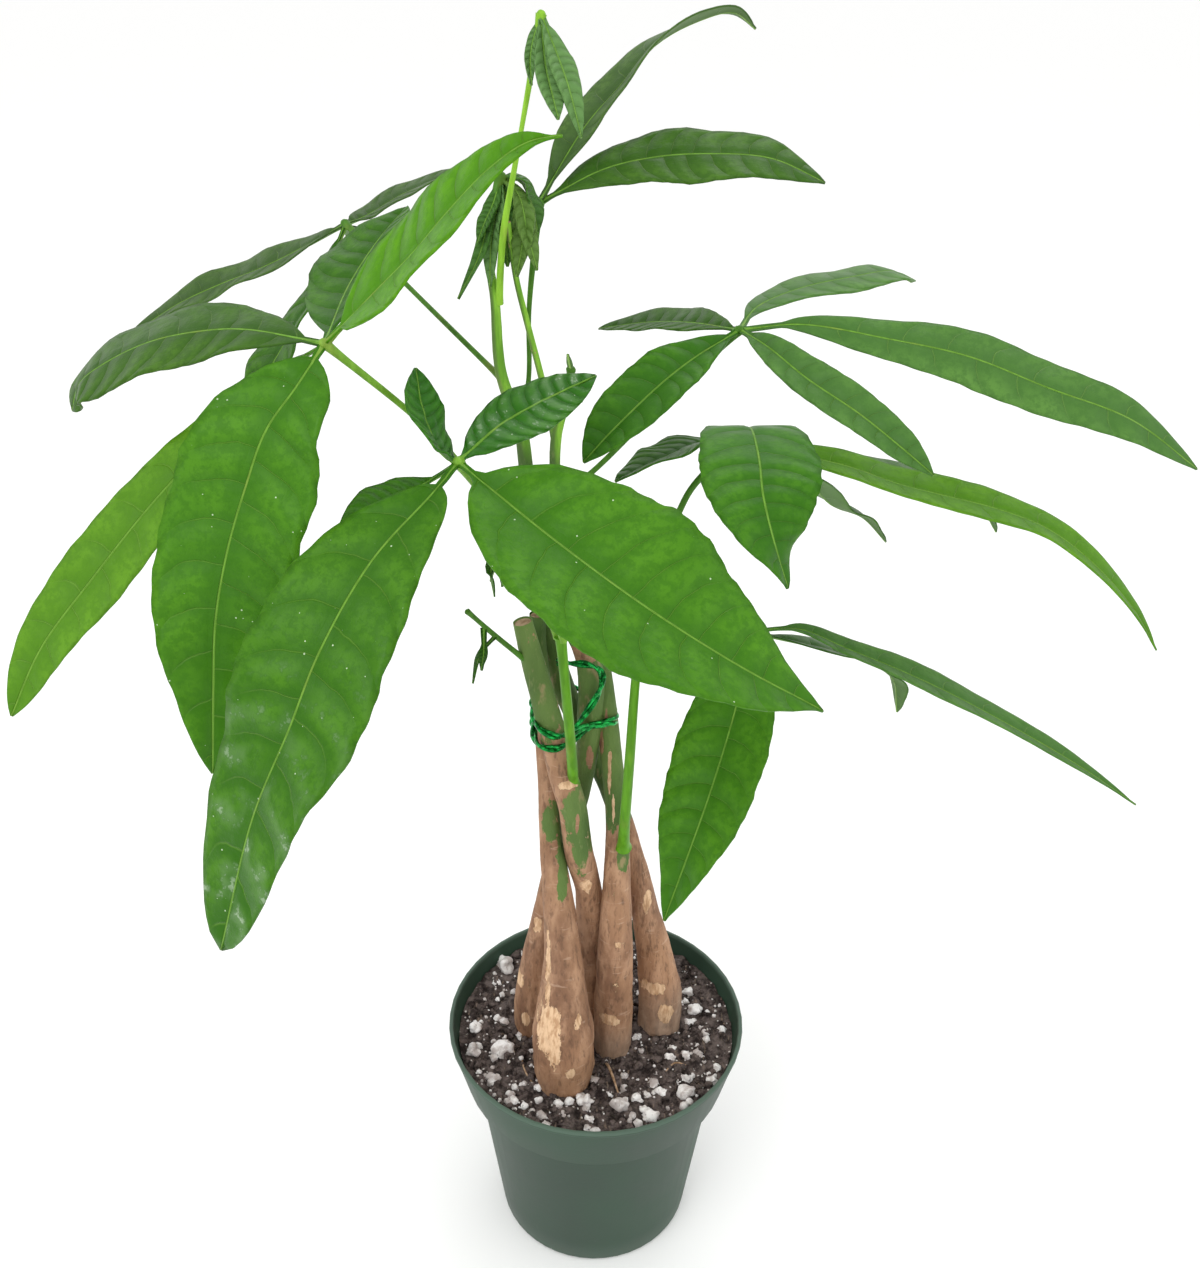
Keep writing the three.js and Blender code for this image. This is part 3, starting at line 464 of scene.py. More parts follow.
def bark(node):
    """Young bark: tan brown and finely creased on the bulbs, green and smooth higher up, with ragged peeled
    patches. The zone attribute holds the shares of green, peeled, bright green and dusty bark; the bright
    green share marks the vivid leader and is also painted light, stronger on the side that faces +x."""
    zone = node("attribute", attribute_name="zone")
    green, peeled, bright = node("channels", zone["Color"])
    ragged = grain(node, 3.4, 6, 0.7, (1, 1, 1.8))
    ragged = node("multiply", node("subtract", ragged, 0.5), 2.8)
    broad = grain(node, 13, 3, 0.5, (1, 1, 2))
    middle = grain(node, 3.4, 4, 0.6, (1, 1, 2.6))
    fine = grain(node, 0.8, 4, 0.65, (1, 1, 4))
    crease = grain(node, 0.8, 3, 0.6, (5, 5, 1))
    streak = grain(node, 1.2, 3, 0.5, (1, 1, 8))
    brown = wash(node, "7a5842", "a67e5f", broad, 0.3, 0.7)
    brown = wash(node, brown, "bf9778", middle, 0.42, 0.66, 0.0, 0.6)
    brown = wash(node, brown, "4b3528", fine, 0.32, 0.5, 0.5, 0.0)
    brown = wash(node, brown, "cfb198", crease, 0.6, 0.72, 0.0, 0.35)
    brown = wash(node, brown, "573c2c", middle, 0.4, 0.3, 0.0, 0.45)
    dust = node("multiply", zone["Alpha"], node("ramp", middle, 0.3, 0.65, 0.5, 1.0))
    brown = node("mix", dust, brown, "b9a795")
    leafy = wash(node, "44602a", "667f40", broad, 0.35, 0.65)
    leafy = wash(node, leafy, "8f9560", fine, 0.56, 0.72, 0.0, 0.35)
    leafy = wash(node, leafy, "a08a66", middle, 0.6, 0.7, 0.0, 0.7)
    colour = node("mix", node("ramp", node("add", green, ragged), 0.44, 0.56), brown, leafy)
    vivid = wash(node, "629826", "86bb3a", streak, 0.35, 0.65)
    # The vivid leader green, laid on by the bright share, which holds painted light on the side that faces +x
    colour = node("mix", node("ramp", bright, 0.2, 0.8), colour, vivid)
    peel = wash(node, "b8906c", "e0bd98", fine, 0.35, 0.6)
    peel = wash(node, peel, "96735a", middle, 0.6, 0.7, 0.0, 0.55)
    bare = node("ramp", node("add", peeled, ragged), 0.47, 0.53)
    colour = node("mix", bare, colour, peel)
    relief = weighted_sum(node, ((fine, 1.0), (middle, 1.4), (bare, -0.8)))
    finish_material(node, colour, 0.72, relief, 0.7, 0.75, specular=0.3)


def cut_wood(node):
    """The sawn end of a trunk: pale pith inside a darker dry rim."""
    pith = node("ramp", grain(node, 1.2, 4), 0.35, 0.65)
    colour = node("mix", pith, "8a6c50", "b99c80")
    finish_material(node, colour, 0.8, grain(node, 0.8, 3), 0.3, 0.7, specular=0.3)


def green_stem(node):
    """Living stem skin: smooth, waxy and faintly streaked. The tint attribute holds its green."""
    tint = node("attribute", attribute_name="tint")["Color"]
    streak = grain(node, 1.2, 3, 0.5, (1, 1, 8))
    blotch = grain(node, 5, 3, 0.5, (1, 1, 2))
    dark = node("mix", 1.0, tint, "d6dcc4", blend_type="MULTIPLY")
    colour = node("mix", node("ramp", streak, 0.35, 0.65), dark, tint)
    colour = wash(node, colour, "9a8f4c", blotch, 0.55, 0.75, 0.0, 0.25)
    finish_material(node, colour, 0.42, streak, 0.1, 0.4, ior=WAX_IOR)


def foil_tie(node):
    """Metallic green foil round a thin wire: crinkled, so that it sparkles, with painted glints: its colour
    is lighter green where the crinkles rise.
    """
    crinkle = grain(node, 1.1, 3, 0.6)
    # Painted glints: the colour runs from dark green to bright green as the crinkle rises
    colour = wash(node, "03501c", "22a84c", crinkle, 0.35, 0.65)
    finish_material(node, colour, 0.2, crinkle, 0.4, 0.9, specular=0.5, metallic=0.85)


def leaf_skin(node, upper):
    """The upper side is waxy, with fine sunk veins, a pale midrib, a few water specks whose pale colour is a
    painted highlight, and a painted sheen with painted sparkles where the shine attribute asks for it.
    Painted shade darkens the grooves beside the veins on both sides. The underside is dull and paler, with
    raised veins. The tint attribute holds its green and, as alpha, how many specks it has. The vein map runs
    from margin to margin, and by one from vein to vein. The size map is in metres."""
    place = node("place")
    tint = node("attribute", attribute_name="tint")
    # shine lowers roughness, and sets the painted sheen and the painted shade in the vein grooves
    shine = node("attribute", attribute_name="shine")["Fac"]
    veins = node("axes", node("map", uv_map="vein"))
    reach = node("absolute", node("axes", node("map", uv_map="size"))["X"])
    margin = node("absolute", node("subtract", veins["X"], 0.5))
    wobble = node("multiply", node("subtract", grain(node, 6, 2), 0.5), 0.3)
    phase = node("add", veins["Y"], wobble)
    apart = node("pingpong", phase, 0.5)
    from_middle = node("pingpong", node("add", phase, 0.5), 0.5)
    line = node("multiply", node("ramp", apart, 0.03, 0.0), node("ramp", margin, 0.48, 0.2))
    midrib = node("ramp", reach, 0.42 * MM, 0.14 * MM)
    pores = grain(node, 1.4, 4, 0.7)
    mottle = grain(node, 11, 4, 0.6)
    light = node("mix", 0.08, tint["Color"], "8ab82c")
    dark = node("mix", 1.0, tint["Color"], "d0dacb", blend_type="MULTIPLY")
    colour = node("mix", node("ramp", mottle, 0.32, 0.68, 0.5, 1.0), dark, light)
    colour = node("mix", node("ramp", pores, 0.42, 0.6, 0.0, 0.6), colour, dark)
    # Painted shade: darker in the grooves beside the veins on both sides of the leaf, more so where the shine
    # is higher
    sunk = node("multiply", node("ramp", apart, 0.3, 0.02), node("ramp", margin, 0.5, 0.3))
    sunk = node("multiply", sunk, node("multiply_add", shine, 0.45, 0.55))
    colour = node("mix", sunk, colour, dark)
    colour = node("mix", node("ramp", reach, 6 * MM, 0.8 * MM, 0.0, 0.7), colour, dark)
    if upper:
        pale = node("mix", 0.4, colour, "9ccb58")
        colour = node("mix", node("multiply", line, 0.32), colour, pale)
        colour = node("mix", node("multiply", midrib, 0.9), colour, pale)
        # Water drops whose pale colour is a painted highlight; they also raise the relief a little
        drop_and_highlight = node("cells", place, DROPS_PER_METRE)
        draw = node("channels", drop_and_highlight["Color"])
        wet = node("less_than", draw[0], node("multiply", tint["Alpha"], 0.6))
        drop_and_highlight = node("multiply", wet, node("less_than", drop_and_highlight["Distance"], node("multiply", draw[1], 0.12)))
        colour = node("mix", node("multiply", drop_and_highlight, 0.65), colour, "d4e8c4")
        # Painted sheen: a whitish film on the puffs between the veins, with painted sparkles, where the shine
        # asks for it
        swell = grain(node, 5, 2)
        painted_sheen = node("multiply", node("ramp", swell, 0.4, 0.6), node("ramp", apart, 0.14, 0.42))
        painted_sheen = node("multiply", painted_sheen, node("multiply", shine, shine))
        colour = node("mix", node("multiply", painted_sheen, 0.3), colour, "8fa884")
        painted_sparkle = node("multiply", painted_sheen, node("ramp", pores, 0.55, 0.62, 0.0, 0.4))
        colour = node("mix", painted_sparkle, colour, "d8e8d0")
        roughness = node("ramp", mottle, 0.2, 0.8, 0.34, 0.48)
        roughness = node("subtract", roughness, node("multiply", shine, 0.1))
        puff = node("sine", node("multiply", apart, math.pi))
        twig = node("pingpong", node("multiply_add", veins["X"], 9.0, wobble), 0.5)
        twig = node("multiply", node("ramp", twig, 0.06, 0.0), node("ramp", from_middle, 0.5, 0.1))
        patterns = ((line, -0.3), (puff, 0.8), (pores, 0.25), (swell, 0.9), (twig, -0.03), (midrib, -0.5),
                    (drop_and_highlight, 0.6))
        specular = 0.15
    else:
        colour = node("mix", 0.35, colour, "7f9f66")
        colour = node("mix", node("multiply", line, 0.4), colour, "a3c080")
        colour = node("mix", node("multiply", midrib, 0.8), colour, "9cc468")
        roughness = 0.6
        patterns = ((line, 0.6), (midrib, 0.9))
        specular = 0.2
    relief = weighted_sum(node, patterns)
    finish_material(node, colour, roughness, relief, 1.0, 0.7, specular=specular, ior=WAX_IOR)


def floor_paint(node):
    """Matt white painted board."""
    node("output", node("shader", "fbfbfa", 0.9))


POT_PLASTIC = new_material("pot_polypropylene", pot_plastic)
POTTING_MIX = new_material("peat_mix", potting_mix)
PERLITE_STONE = new_material("perlite", perlite_stone)
BARK = new_material("young_bark", bark)
CUT_WOOD = new_material("cut_wood", cut_wood)
GREEN_STEM = new_material("green_stem", green_stem)
FOIL = new_material("foil_ribbon", foil_tie)
LEAF_UPPER = new_material("leaf_upper_skin", leaf_skin, True)
LEAF_UNDER = new_material("leaf_underside", leaf_skin, False)


# Making pieces
def add_object(name, data):
    """A new object in the scene."""
    added = bpy.data.objects.new(name, data)
    bpy.context.scene.collection.objects.link(added)
    return added


def finish_piece(mesh_builder, name, materials, nodes, sharp_degrees=40):
    """Turns a bmesh in millimetres into a piece that replaces CAD nodes and rides on the root."""
    bmesh.ops.scale(mesh_builder, vec=(MM, MM, MM), verts=mesh_builder.verts)
    mesh = bpy.data.meshes.new(name)
    mesh_builder.to_mesh(mesh)
    mesh_builder.free()
    for material in materials:
        mesh.materials.append(material)
    mesh.shade_smooth()
    mesh.set_sharp_from_angle(angle=math.radians(sharp_degrees))
    piece = add_object(name, mesh)
    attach(piece, "root")
    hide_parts(*nodes)
    return piece


def tube(builder, points, sides, row, roughen=None, swell=(0.0, 0.0), paint=None, layer=None,
         cap_material=0):
    """A round limb through points, [x, y, z, radius]. row is the length of a step, swell the extra share of
    radius at each end, roughen a change of radius by place, and paint gives each vertex its colour."""
    curve = Curve(points)
    length = curve.length()
    steps = max(LEAST_STEPS, int(length / row))
    radii = [point[3] for point in points]
    made = bmesh.ops.create_grid(builder, x_segments=sides, y_segments=steps, size=1.0)
    right = Vector((1, 0, 0))
    rings = []
    for i in range(steps + 1):
        t = i / steps
        along = curve.along(t)
        right = (right - along * right.dot(along)).normalized()
        reach = length / SWELL_LENGTH
        radius = between(radii, t)
        radius *= 1 + swell[0] * math.exp(-t * reach) + swell[1] * math.exp(-(1 - t) * reach)
        rings.append((curve.place(t), right.copy(), along.cross(right), radius))
    for vertex in made["verts"]:
        angle = math.pi * (vertex.co.x + 1)
        place, side, front, radius = rings[round((vertex.co.y + 1) / 2 * steps)]
        direction = side * math.cos(angle) + front * math.sin(angle)
        spot = place + direction * radius
        if roughen:
            spot += direction * roughen(spot, radius)
        vertex.co = spot
        if paint:
            vertex[layer] = paint(spot, direction)
    bmesh.ops.remove_doubles(builder, verts=made["verts"], dist=SEAM)
    kept = [vertex for vertex in made["verts"] if vertex.is_valid]
    edges = {edge for vertex in kept for edge in vertex.link_edges if edge.is_boundary}
    caps = bmesh.ops.holes_fill(builder, edges=list(edges), sides=0)["faces"]
    for face in caps:
        face.material_index = cap_material
    return caps


def lump(builder, centre, radius, detail, squash=(1, 1, 1), roughness=0.25, grain_size=1.0, seed=0):
    """An uneven ball, such as a perlite crumb or the hub of a leaf."""
    ball = bmesh.ops.create_icosphere(builder, subdivisions=detail, radius=1.0)
    shift = Vector((seed * 3.7, seed * 1.3, seed * 2.1))
    for vertex in ball["verts"]:
        direction = vertex.co.normalized()
        uneven = 1 + roughness * noise.noise(direction * grain_size + shift)
        vertex.co = Vector(centre) + Vector([d * s for d, s in zip(direction, squash)]) * radius * uneven
    return ball["verts"]


def add_crumbs(builder, crumbs, roughness, grain_size):
    """Many small uneven balls, each (centre, radius, squash), made in short batches, which is quicker."""
    for start in range(0, len(crumbs), CRUMB_BATCH):
        batch = bmesh.new()
        for i, (centre, radius, squash) in enumerate(crumbs[start:start + CRUMB_BATCH]):
            detail = 1 if radius < FINE_CRUMB else 2
            lump(batch, centre, radius, detail, squash, roughness, grain_size, start + i)
        mesh = bpy.data.meshes.new("crumb_batch")
        batch.to_mesh(mesh)
        batch.free()
        builder.from_mesh(mesh)
        bpy.data.meshes.remove(mesh)


# Pot
POT_SEAM = 1e-3
POT_SHARP_DEGREES = 24
POT_EDGE_ROUNDING = 0.25


def make_pot():
    """The pot's own solid, with its loose triangles joined and its edges rounded."""
    builder = bmesh.new()
    builder.from_mesh(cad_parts["pot"].data)
    bmesh.ops.scale(builder, vec=(1 / MM, 1 / MM, 1 / MM), verts=builder.verts)
    bmesh.ops.remove_doubles(builder, verts=builder.verts, dist=POT_SEAM)
    piece = finish_piece(builder, "nursery_pot", [POT_PLASTIC], ["pot"], POT_SHARP_DEGREES)
    bevel = piece.modifiers.new("soft_edges", "BEVEL")
    bevel.width = POT_EDGE_ROUNDING * MM
    bevel.segments = 2
    bevel.limit_method = "ANGLE"
    bevel.angle_limit = math.radians(POT_SHARP_DEGREES)


# Potting mix
SOIL_GRID = 120
CRUMBS = 1100
SMALL_PERLITE = 500
CRUMB_RISES = 0.3
CRUMBS_END = 2

# Below its top, the mix inside the pot: share of the radius, height
PLUG_RINGS = ((0.84, 66), (0.66, 2))

# Large perlite crumbs: x, y, radius
PERLITE = [
    (-32, -10, 3.7), (-43, -12, 2.4), (-35, -24, 2.4), (-3, -32, 2.4), (9, -34, 2.9), (19, -38.6, 2.9),
    (31, -29, 2.9), (31, -22, 2.3), (32, -11, 1.8), (36, 10, 2.4), (34, 5, 1.7), (-35, 31, 3.4),
    (-43, -1, 2.1), (40, -24, 1.6), (10, -25, 1.5), (26, -12, 1.8), (15, -2, 1.4), (-2, -40, 1.6),
    (-28, -34, 1.9), (14, -31, 2.1), (0, 36, 2.8), (18, 33, 2.3), (-14, 30, 2.1), (34, 19, 1.8), (4, 24, 2.1),
]


def soil_height(x, y):
    """Height of the mix: uneven, and rising towards the pot's wall."""
    low = math.sin(x * 0.31 + 1) * math.cos(y * 0.27) + 0.6 * math.sin(x * 0.57 - y * 0.49)
    return SOIL_LEVEL + 0.55 * SOIL_MOUND * low + SOIL_RISE * (math.hypot(x, y) / SOIL_RADIUS) ** 4


def crumbly_height(x, y):
    place = Vector((x, y, 0))
    rough = noise.fractal(place * 0.28, 1.0, 2.0, 4)
    return soil_height(x, y) + 0.9 * rough


def make_soil():
    """The plug of mix: a crumbly round top, and a plain side and bottom inside the pot."""
    builder = bmesh.new()
    top = bmesh.ops.create_grid(builder, x_segments=SOIL_GRID, y_segments=SOIL_GRID, size=1.0)["verts"]
    for vertex in top:
        u, v = vertex.co.x, vertex.co.y
        x = SOIL_RADIUS * u * math.sqrt(1 - v * v / 2)
        y = SOIL_RADIUS * v * math.sqrt(1 - u * u / 2)
        vertex.co = Vector((x, y, crumbly_height(x, y)))
    rim = [edge for edge in builder.edges if edge.is_boundary]
    for share, height in PLUG_RINGS:
        made = bmesh.ops.extrude_edge_only(builder, edges=rim)["geom"]
        radius = SOIL_RADIUS * share
        for vertex in (part for part in made if isinstance(part, bmesh.types.BMVert)):
            flat = Vector((vertex.co.x, vertex.co.y)).normalized() * radius
            vertex.co = Vector((flat.x, flat.y, height))
        rim = [part for part in made if isinstance(part, bmesh.types.BMEdge)]
    bmesh.ops.holes_fill(builder, edges=rim, sides=0)
    bmesh.ops.recalc_face_normals(builder, faces=builder.faces)
    draw = random.Random(SEED)
    crumbs = []
    for i in range(CRUMBS):
        x, y = spot_on_soil(draw)
        radius = 0.35 + 1.3 * draw.random() ** 2
        squash = (draw.uniform(0.7, 1.3), draw.uniform(0.7, 1.3), draw.uniform(0.6, 1.0))
        crumbs.append(((x, y, crumbly_height(x, y) + CRUMB_RISES * radius), radius, squash))
    add_crumbs(builder, crumbs, 0.5, 1.6)
    finish_piece(builder, "potting_mix", [POTTING_MIX], ["soil"], 50)


def spot_on_soil(draw):
    radius = (SOIL_RADIUS - CRUMBS_END) * math.sqrt(draw.random())
    angle = draw.uniform(0, 2 * math.pi)
    return radius * math.cos(angle), radius * math.sin(angle)


def make_perlite():
    builder = bmesh.new()
    for i, (x, y, radius) in enumerate(PERLITE):
        centre = (x, y, crumbly_height(x, y) + CRUMB_RISES * radius)
        lump(builder, centre, radius, 3, (1, 0.9, 0.8), 0.7, 1.3, i + 1)
    draw = random.Random(SEED + 1)
    crumbs = []
    for i in range(SMALL_PERLITE):
        x, y = spot_on_soil(draw)
        radius = 0.4 + 1.4 * draw.random() ** 3
        crumbs.append(((x, y, crumbly_height(x, y) + CRUMB_RISES * radius), radius, (1, 1, 0.8)))
    add_crumbs(builder, crumbs, 0.6, 1.5)
    finish_piece(builder, "perlite_crumbs", [PERLITE_STONE], ["soil"], 60)


# Loose fine roots on the mix: [x, y, z, radius]
FINE_ROOTS = [
    [[3, -13, 78, 0.4], [4.4, -17, 81, 0.5], [6, -22, 81.4, 0.45], [8, -28, 79.6, 0.3]],
    [[-26, -12, 79, 0.3], [-24, -20, 80.4, 0.3], [-20, -26, 79.4, 0.25]],
    [[24, -18, 79, 0.25], [28, -15, 80.6, 0.3], [34, -16, 79.2, 0.2]],
]


def make_fine_roots():
    builder = bmesh.new()
    for points in FINE_ROOTS:
        tube(builder, points, THIN_SIDES, 1.0)
    finish_piece(builder, "fine_roots", [CUT_WOOD], ["soil"])


# Trunks. For each, the height from which its bark is green, the height below which it is dusty, and its front
# patches: x, z, half width, half height, and what they are
BARK_ZONES = {
    "trunk_front_left": (209, 0, [
        (-15.2, 106, 3.7, 11, "peeled"), (-15.8, 130, 1.0, 15, "peeled"), (-14.7, 183, 2.6, 6, "green"),
        (-11.4, 168, 1.6, 14, "green"), (-8, 92, 1.4, 2.2, "peeled"), (-6, 112, 1.2, 3, "peeled"),
        (-15, 236, 0.8, 2.6, "brown"), (-14, 229, 0.7, 2.2, "brown"),
    ]),
    "trunk_centre_left": (217, 0, [
        (-8, 200, 4, 1.5, "peeled"), (-6.5, 188, 4.4, 11, "green"), (-5, 175, 2.6, 9, "green"),
        (-6.5, 186, 0.5, 4, "brown"), (-4, 158, 1.4, 2.4, "peeled"),
    ]),
    "trunk_centre_right": (176, 98, [
        (7.3, 135, 1.6, 1.4, "peeled"), (3.2, 196, 0.6, 7, "peeled"), (4.6, 184, 0.5, 5, "peeled"),
        (8, 168, 1.8, 4.5, "green"), (0.6, 205, 0.7, 4, "brown"), (2, 214, 0.6, 3, "brown"),
        (5.5, 98, 3.4, 2.4, "peeled"),
    ]),
    "trunk_right_rear": (170, 104, [
        (17, 136, 1.4, 4, "peeled"), (19.5, 101, 4.5, 2.8, "peeled"), (24.5, 90, 2.6, 4, "peeled"),
        (26, 124, 1.2, 4, "peeled"), (9, 160, 1, 4, "brown"),
    ]),
    "trunk_left_rear": (158, 0, [
        (-20.2, 127.5, 1.4, 2.4, "peeled"), (-27, 103, 1.4, 3, "peeled"), (-3, 200, 1.0, 5, "brown"),
        (-4.7, 238, 4, 3, "brown"), (-25, 88, 1.5, 3, "peeled"),
    ]),
}
LEADER_FROM = 286
LEADER_FADE = 26
GREEN_FADE = 9
DUSTY_FADE = 16
PATCH_EDGE = (1.7, 0.4)
FACES_FRONT = 0.15
CUT_TRUNKS = ("trunk_front_left", "trunk_centre_left", "trunk_centre_right")
CUT_RIM = 0.35
CUT_SINKS = 0.5


def bark_painter(name):
    green_from, dusty_below, patches = BARK_ZONES[name]

    def paint(spot, direction):
        green = smooth_step(green_from - GREEN_FADE, green_from + GREEN_FADE, spot.z)
        peeled = 0.0
        for x, z, half_width, half_height, kind in patches:
            reach = math.hypot((spot.x - x) / half_width, (spot.z - z) / half_height)
            share = smooth_step(*PATCH_EDGE, reach) if direction.y < FACES_FRONT else 0.0
            if kind == "green":
                green = max(green, share)
            elif kind == "brown":
                green = min(green, 1 - share)
            else:
                peeled = max(peeled, share)
        # Painted light: the leader's bright green is stronger on the side that faces +x
        lit = 0.35 + 0.65 * smooth_step(-0.6, 0.5, direction.x)
        bright = lit * smooth_step(LEADER_FROM, LEADER_FROM + LEADER_FADE, spot.z)
        dusty = 0.45 * smooth_step(dusty_below, dusty_below - DUSTY_FADE, spot.z) if dusty_below else 0.0
        return (green, peeled, bright, dusty)
    return paint


def bark_relief(spot, radius):
    """Lengthwise folds and low swellings of the bark, deepest on the thick bulbs."""
    thick = smooth_step(2.5, 9, radius)
    folds = noise.noise(Vector((spot.x * 0.32, spot.y * 0.32, spot.z * 0.05)))
    swellings = noise.noise(spot * 0.11 + Vector((5, 2, 9)))
    creases = noise.noise(Vector((spot.x * 0.5, spot.y * 0.5, spot.z * 0.45)))
    return folds * (0.12 + 0.5 * thick) + swellings * 0.5 * thick + creases * (0.05 + 0.18 * thick)


def make_trunk(name):
    builder = bmesh.new()
    layer = builder.verts.layers.float_color.new("zone")
    paint = bark_painter(name)
    caps = tube(builder, TRUNKS[name], TRUNK_SIDES, STEM_ROW, bark_relief, (0, 0), paint, layer, 1)
    if name == "trunk_left_rear":
        tube(builder, FORK, STEM_SIDES, STEM_ROW, None, (0.3, 0), paint, layer, 1)
    top = max(caps, key=lambda face: face.calc_center_median().z)
    if name in CUT_TRUNKS:
        inner = bmesh.ops.inset_region(builder, faces=[top], thickness=CUT_RIM, depth=-CUT_SINKS)
        for face in inner["faces"]:
            face.material_index = 0
    finish_piece(builder, name + "_bark", [BARK, CUT_WOOD], [name], 50)


# Twist tie: two foil strands wound round each other, along each wrap and the tail
TIE_STRAND_RADIUS = 0.62
TIE_STRAND_APART = 0.58
TIE_TWIST = 19
TIE_STEP = 0.7
TIE_ROW = 0.8


def make_tie():
    routes = [TIE_TAIL]
    for tilt in TIE_TILTS:
        loop = [[x, y, TIE_HEIGHT + tilt * x] for x, y in TIE_WRAP]
        routes.append(loop + loop[:2])
    builder = bmesh.new()
    for route in routes:
        curve = Curve(route)
        length = curve.length()
        steps = int(length / TIE_STEP)
        for strand in range(2):
            points = []
            right = Vector((0, 0, 1))
            for i in range(steps + 1):
                along = curve.along(i / steps)
                right = (right - along * right.dot(along)).normalized()
                angle = 2 * math.pi * i / steps * length / TIE_TWIST + math.pi * strand
                away = right * math.cos(angle) + along.cross(right) * math.sin(angle)
                place = curve.place(i / steps) + away * TIE_STRAND_APART
                points.append([*place, TIE_STRAND_RADIUS])
            tube(builder, points, THIN_SIDES, TIE_ROW)
    finish_piece(builder, "twist_tie", [FOIL], ["tie"], 35)


# Leaves
GREENS = {
    "deep": "3a7110", "mid": "377111", "glossy": "32701a", "fresh": "407a12", "light": "5b8f1e",
    "leafy": "3a621b", "bright": "529008", "shaded": "336709", "dull": "336313", "upper": "3d661e",
    "rear": "43612f", "distant": "507c39", "young": "6e9659", "crown": "4b7833", "olive": "6b8c44",
    "stalk": "76a636", "dark stalk": "4a7a24", "lively stalk": "8cbf38", "shoot": "5c961a", "rib": "6c9c36",
}
VEIN_PAIRS = 11
VEIN_LEAN = 0.12
VEIN_CURL = 0.45
PUFF = 0.022
VEIN_SHIFT = 0.35
GROOVE_DEPTH = 0.4
GROOVE_REACH = 0.9
TOOTH_SHARE = 0.012
TOOTH_WAVES = (9, 4.3)
RIB_POINTS = 12
RIB_ENDS_AT = 0.96
RIB_RADIUS = 0.42
RIB_THINNING = 0.22
RIB_DROP = 0.15
RIB_ROW = 2.5
SMALL_BLADE = 8
LEAST_ROWS = 20


def green_tint(name, specks=0.0):
    return (*linear(GREENS[name])[:3], specks)


def plain_paint(name):
    """A paint function that gives every vertex the same green."""
    colour = green_tint(name)
    return lambda spot, direction: colour


def rib_frame(curve, t, roll):
    """Place, side and upper face of a leaflet at share t, turned about the rib by roll degrees."""
    along = curve.along(t)
    side = Vector((along.y, -along.x, 0)).normalized()
    face = side.cross(along)
    turn = Matrix.Rotation(math.radians(roll), 3, along)
    return curve.place(t), turn @ side, turn @ face


def leaf_outline(t, taper):
    widest = taper[0] / (taper[0] + taper[1])
    return (t / widest) ** taper[0] * ((1 - t) / (1 - widest)) ** taper[1]


def leaflet(builder, layers, hub, shape):
    """A blade along its rib, as in the part's source, with a puffed skin between sunk veins."""
    curve = Curve([hub] + shape["rib"])
    length = curve.length()
    steps = max(LEAST_ROWS, int(length / LEAF_ROW))
    rows = []
    for i in range(steps + 1):
        t = i / steps
        blade_share = max(0.0, (t - shape["stalk"]) / (1 - shape["stalk"]))
        stalk = STALK_WIDTH * (1 - 0.65 * t)
        half = max(leaf_outline(blade_share, shape["taper"]) * shape["width"], stalk) / 2
        first, second = (waves * t * VEIN_PAIRS for waves in TOOTH_WAVES)
        toothed = 1 + TOOTH_SHARE * math.sin(first) + TOOTH_SHARE * math.sin(second + 1)
        frame_here = rib_frame(curve, t, between(shape["roll"], t))
        rows.append((*frame_here, half * toothed, between(shape["fold"], t)))
    sheet = bmesh.ops.create_grid(builder, x_segments=LEAF_ACROSS, y_segments=steps, size=1.0)["verts"]
    shares = {}
    colour = green_tint(shape["green"], shape["specks"])
    for vertex in sheet:
        s = vertex.co.x
        row = round((vertex.co.y + 1) / 2 * steps)
        t = row / steps
        place, side, face, half, fold = rows[row]
        reach = abs(s) * half
        phase = VEIN_PAIRS * (t - (VEIN_LEAN + VEIN_CURL * s * s) * reach / length)
        shares[vertex] = (s, s * half, t * length, phase)
        ripple = shape["wave"] * math.sin(2 * math.pi * WAVES * t + (s > 0) - (s < 0))
        lift = (fold + ripple) * reach
        puff = abs(math.sin(math.pi * (phase + (VEIN_SHIFT if s > 0 else 0)))) ** 0.7 - 0.5
        lift += PUFF * shape["width"] ** 0.7 * puff * min(1, 3 * abs(s)) * (1 - s ** 4)
        lift -= GROOVE_DEPTH * math.exp(-((reach / GROOVE_REACH) ** 2))
        if shape["crinkle"]:
            lift += shape["crinkle"] * noise.noise(place * 0.4 + Vector((3 * s * half, 0, 0)) * 0.15)
        vertex.co = place + side * (s * half) + face * lift
        vertex[layers["tint"]] = colour
        vertex[layers["shine"]] = between(shape["shine"], t)
    for face in {face for vertex in sheet for face in vertex.link_faces}:
        on_right = sum(shares[loop.vert][0] for loop in face.loops) > 0
        for loop in face.loops:
            s, across, along, phase = shares[loop.vert]
            loop[layers["vein"]].uv = (0.5 + 0.5 * s, phase + (VEIN_SHIFT if on_right else 0))
            loop[layers["size"]].uv = (across * MM, along * MM)
    return curve


def raised_rib(builder, layer, curve, shape):
    """The rib under a blade, thinner towards the tip and on the smallest leaflets."""
    size = 1 if shape["width"] > SMALL_BLADE else 0.5
    points = []
    for i in range(RIB_POINTS + 1):
        t = RIB_ENDS_AT * i / RIB_POINTS
        place, side, face = rib_frame(curve, t, between(shape["roll"], t))
        radius = size * (RIB_RADIUS - RIB_THINNING * t)
        points.append([*(place - face * (RIB_DROP + 0.75 * radius)), radius])
    tube(builder, points, THIN_SIDES, RIB_ROW, None, (1.2, 0), plain_paint("rib"), layer)


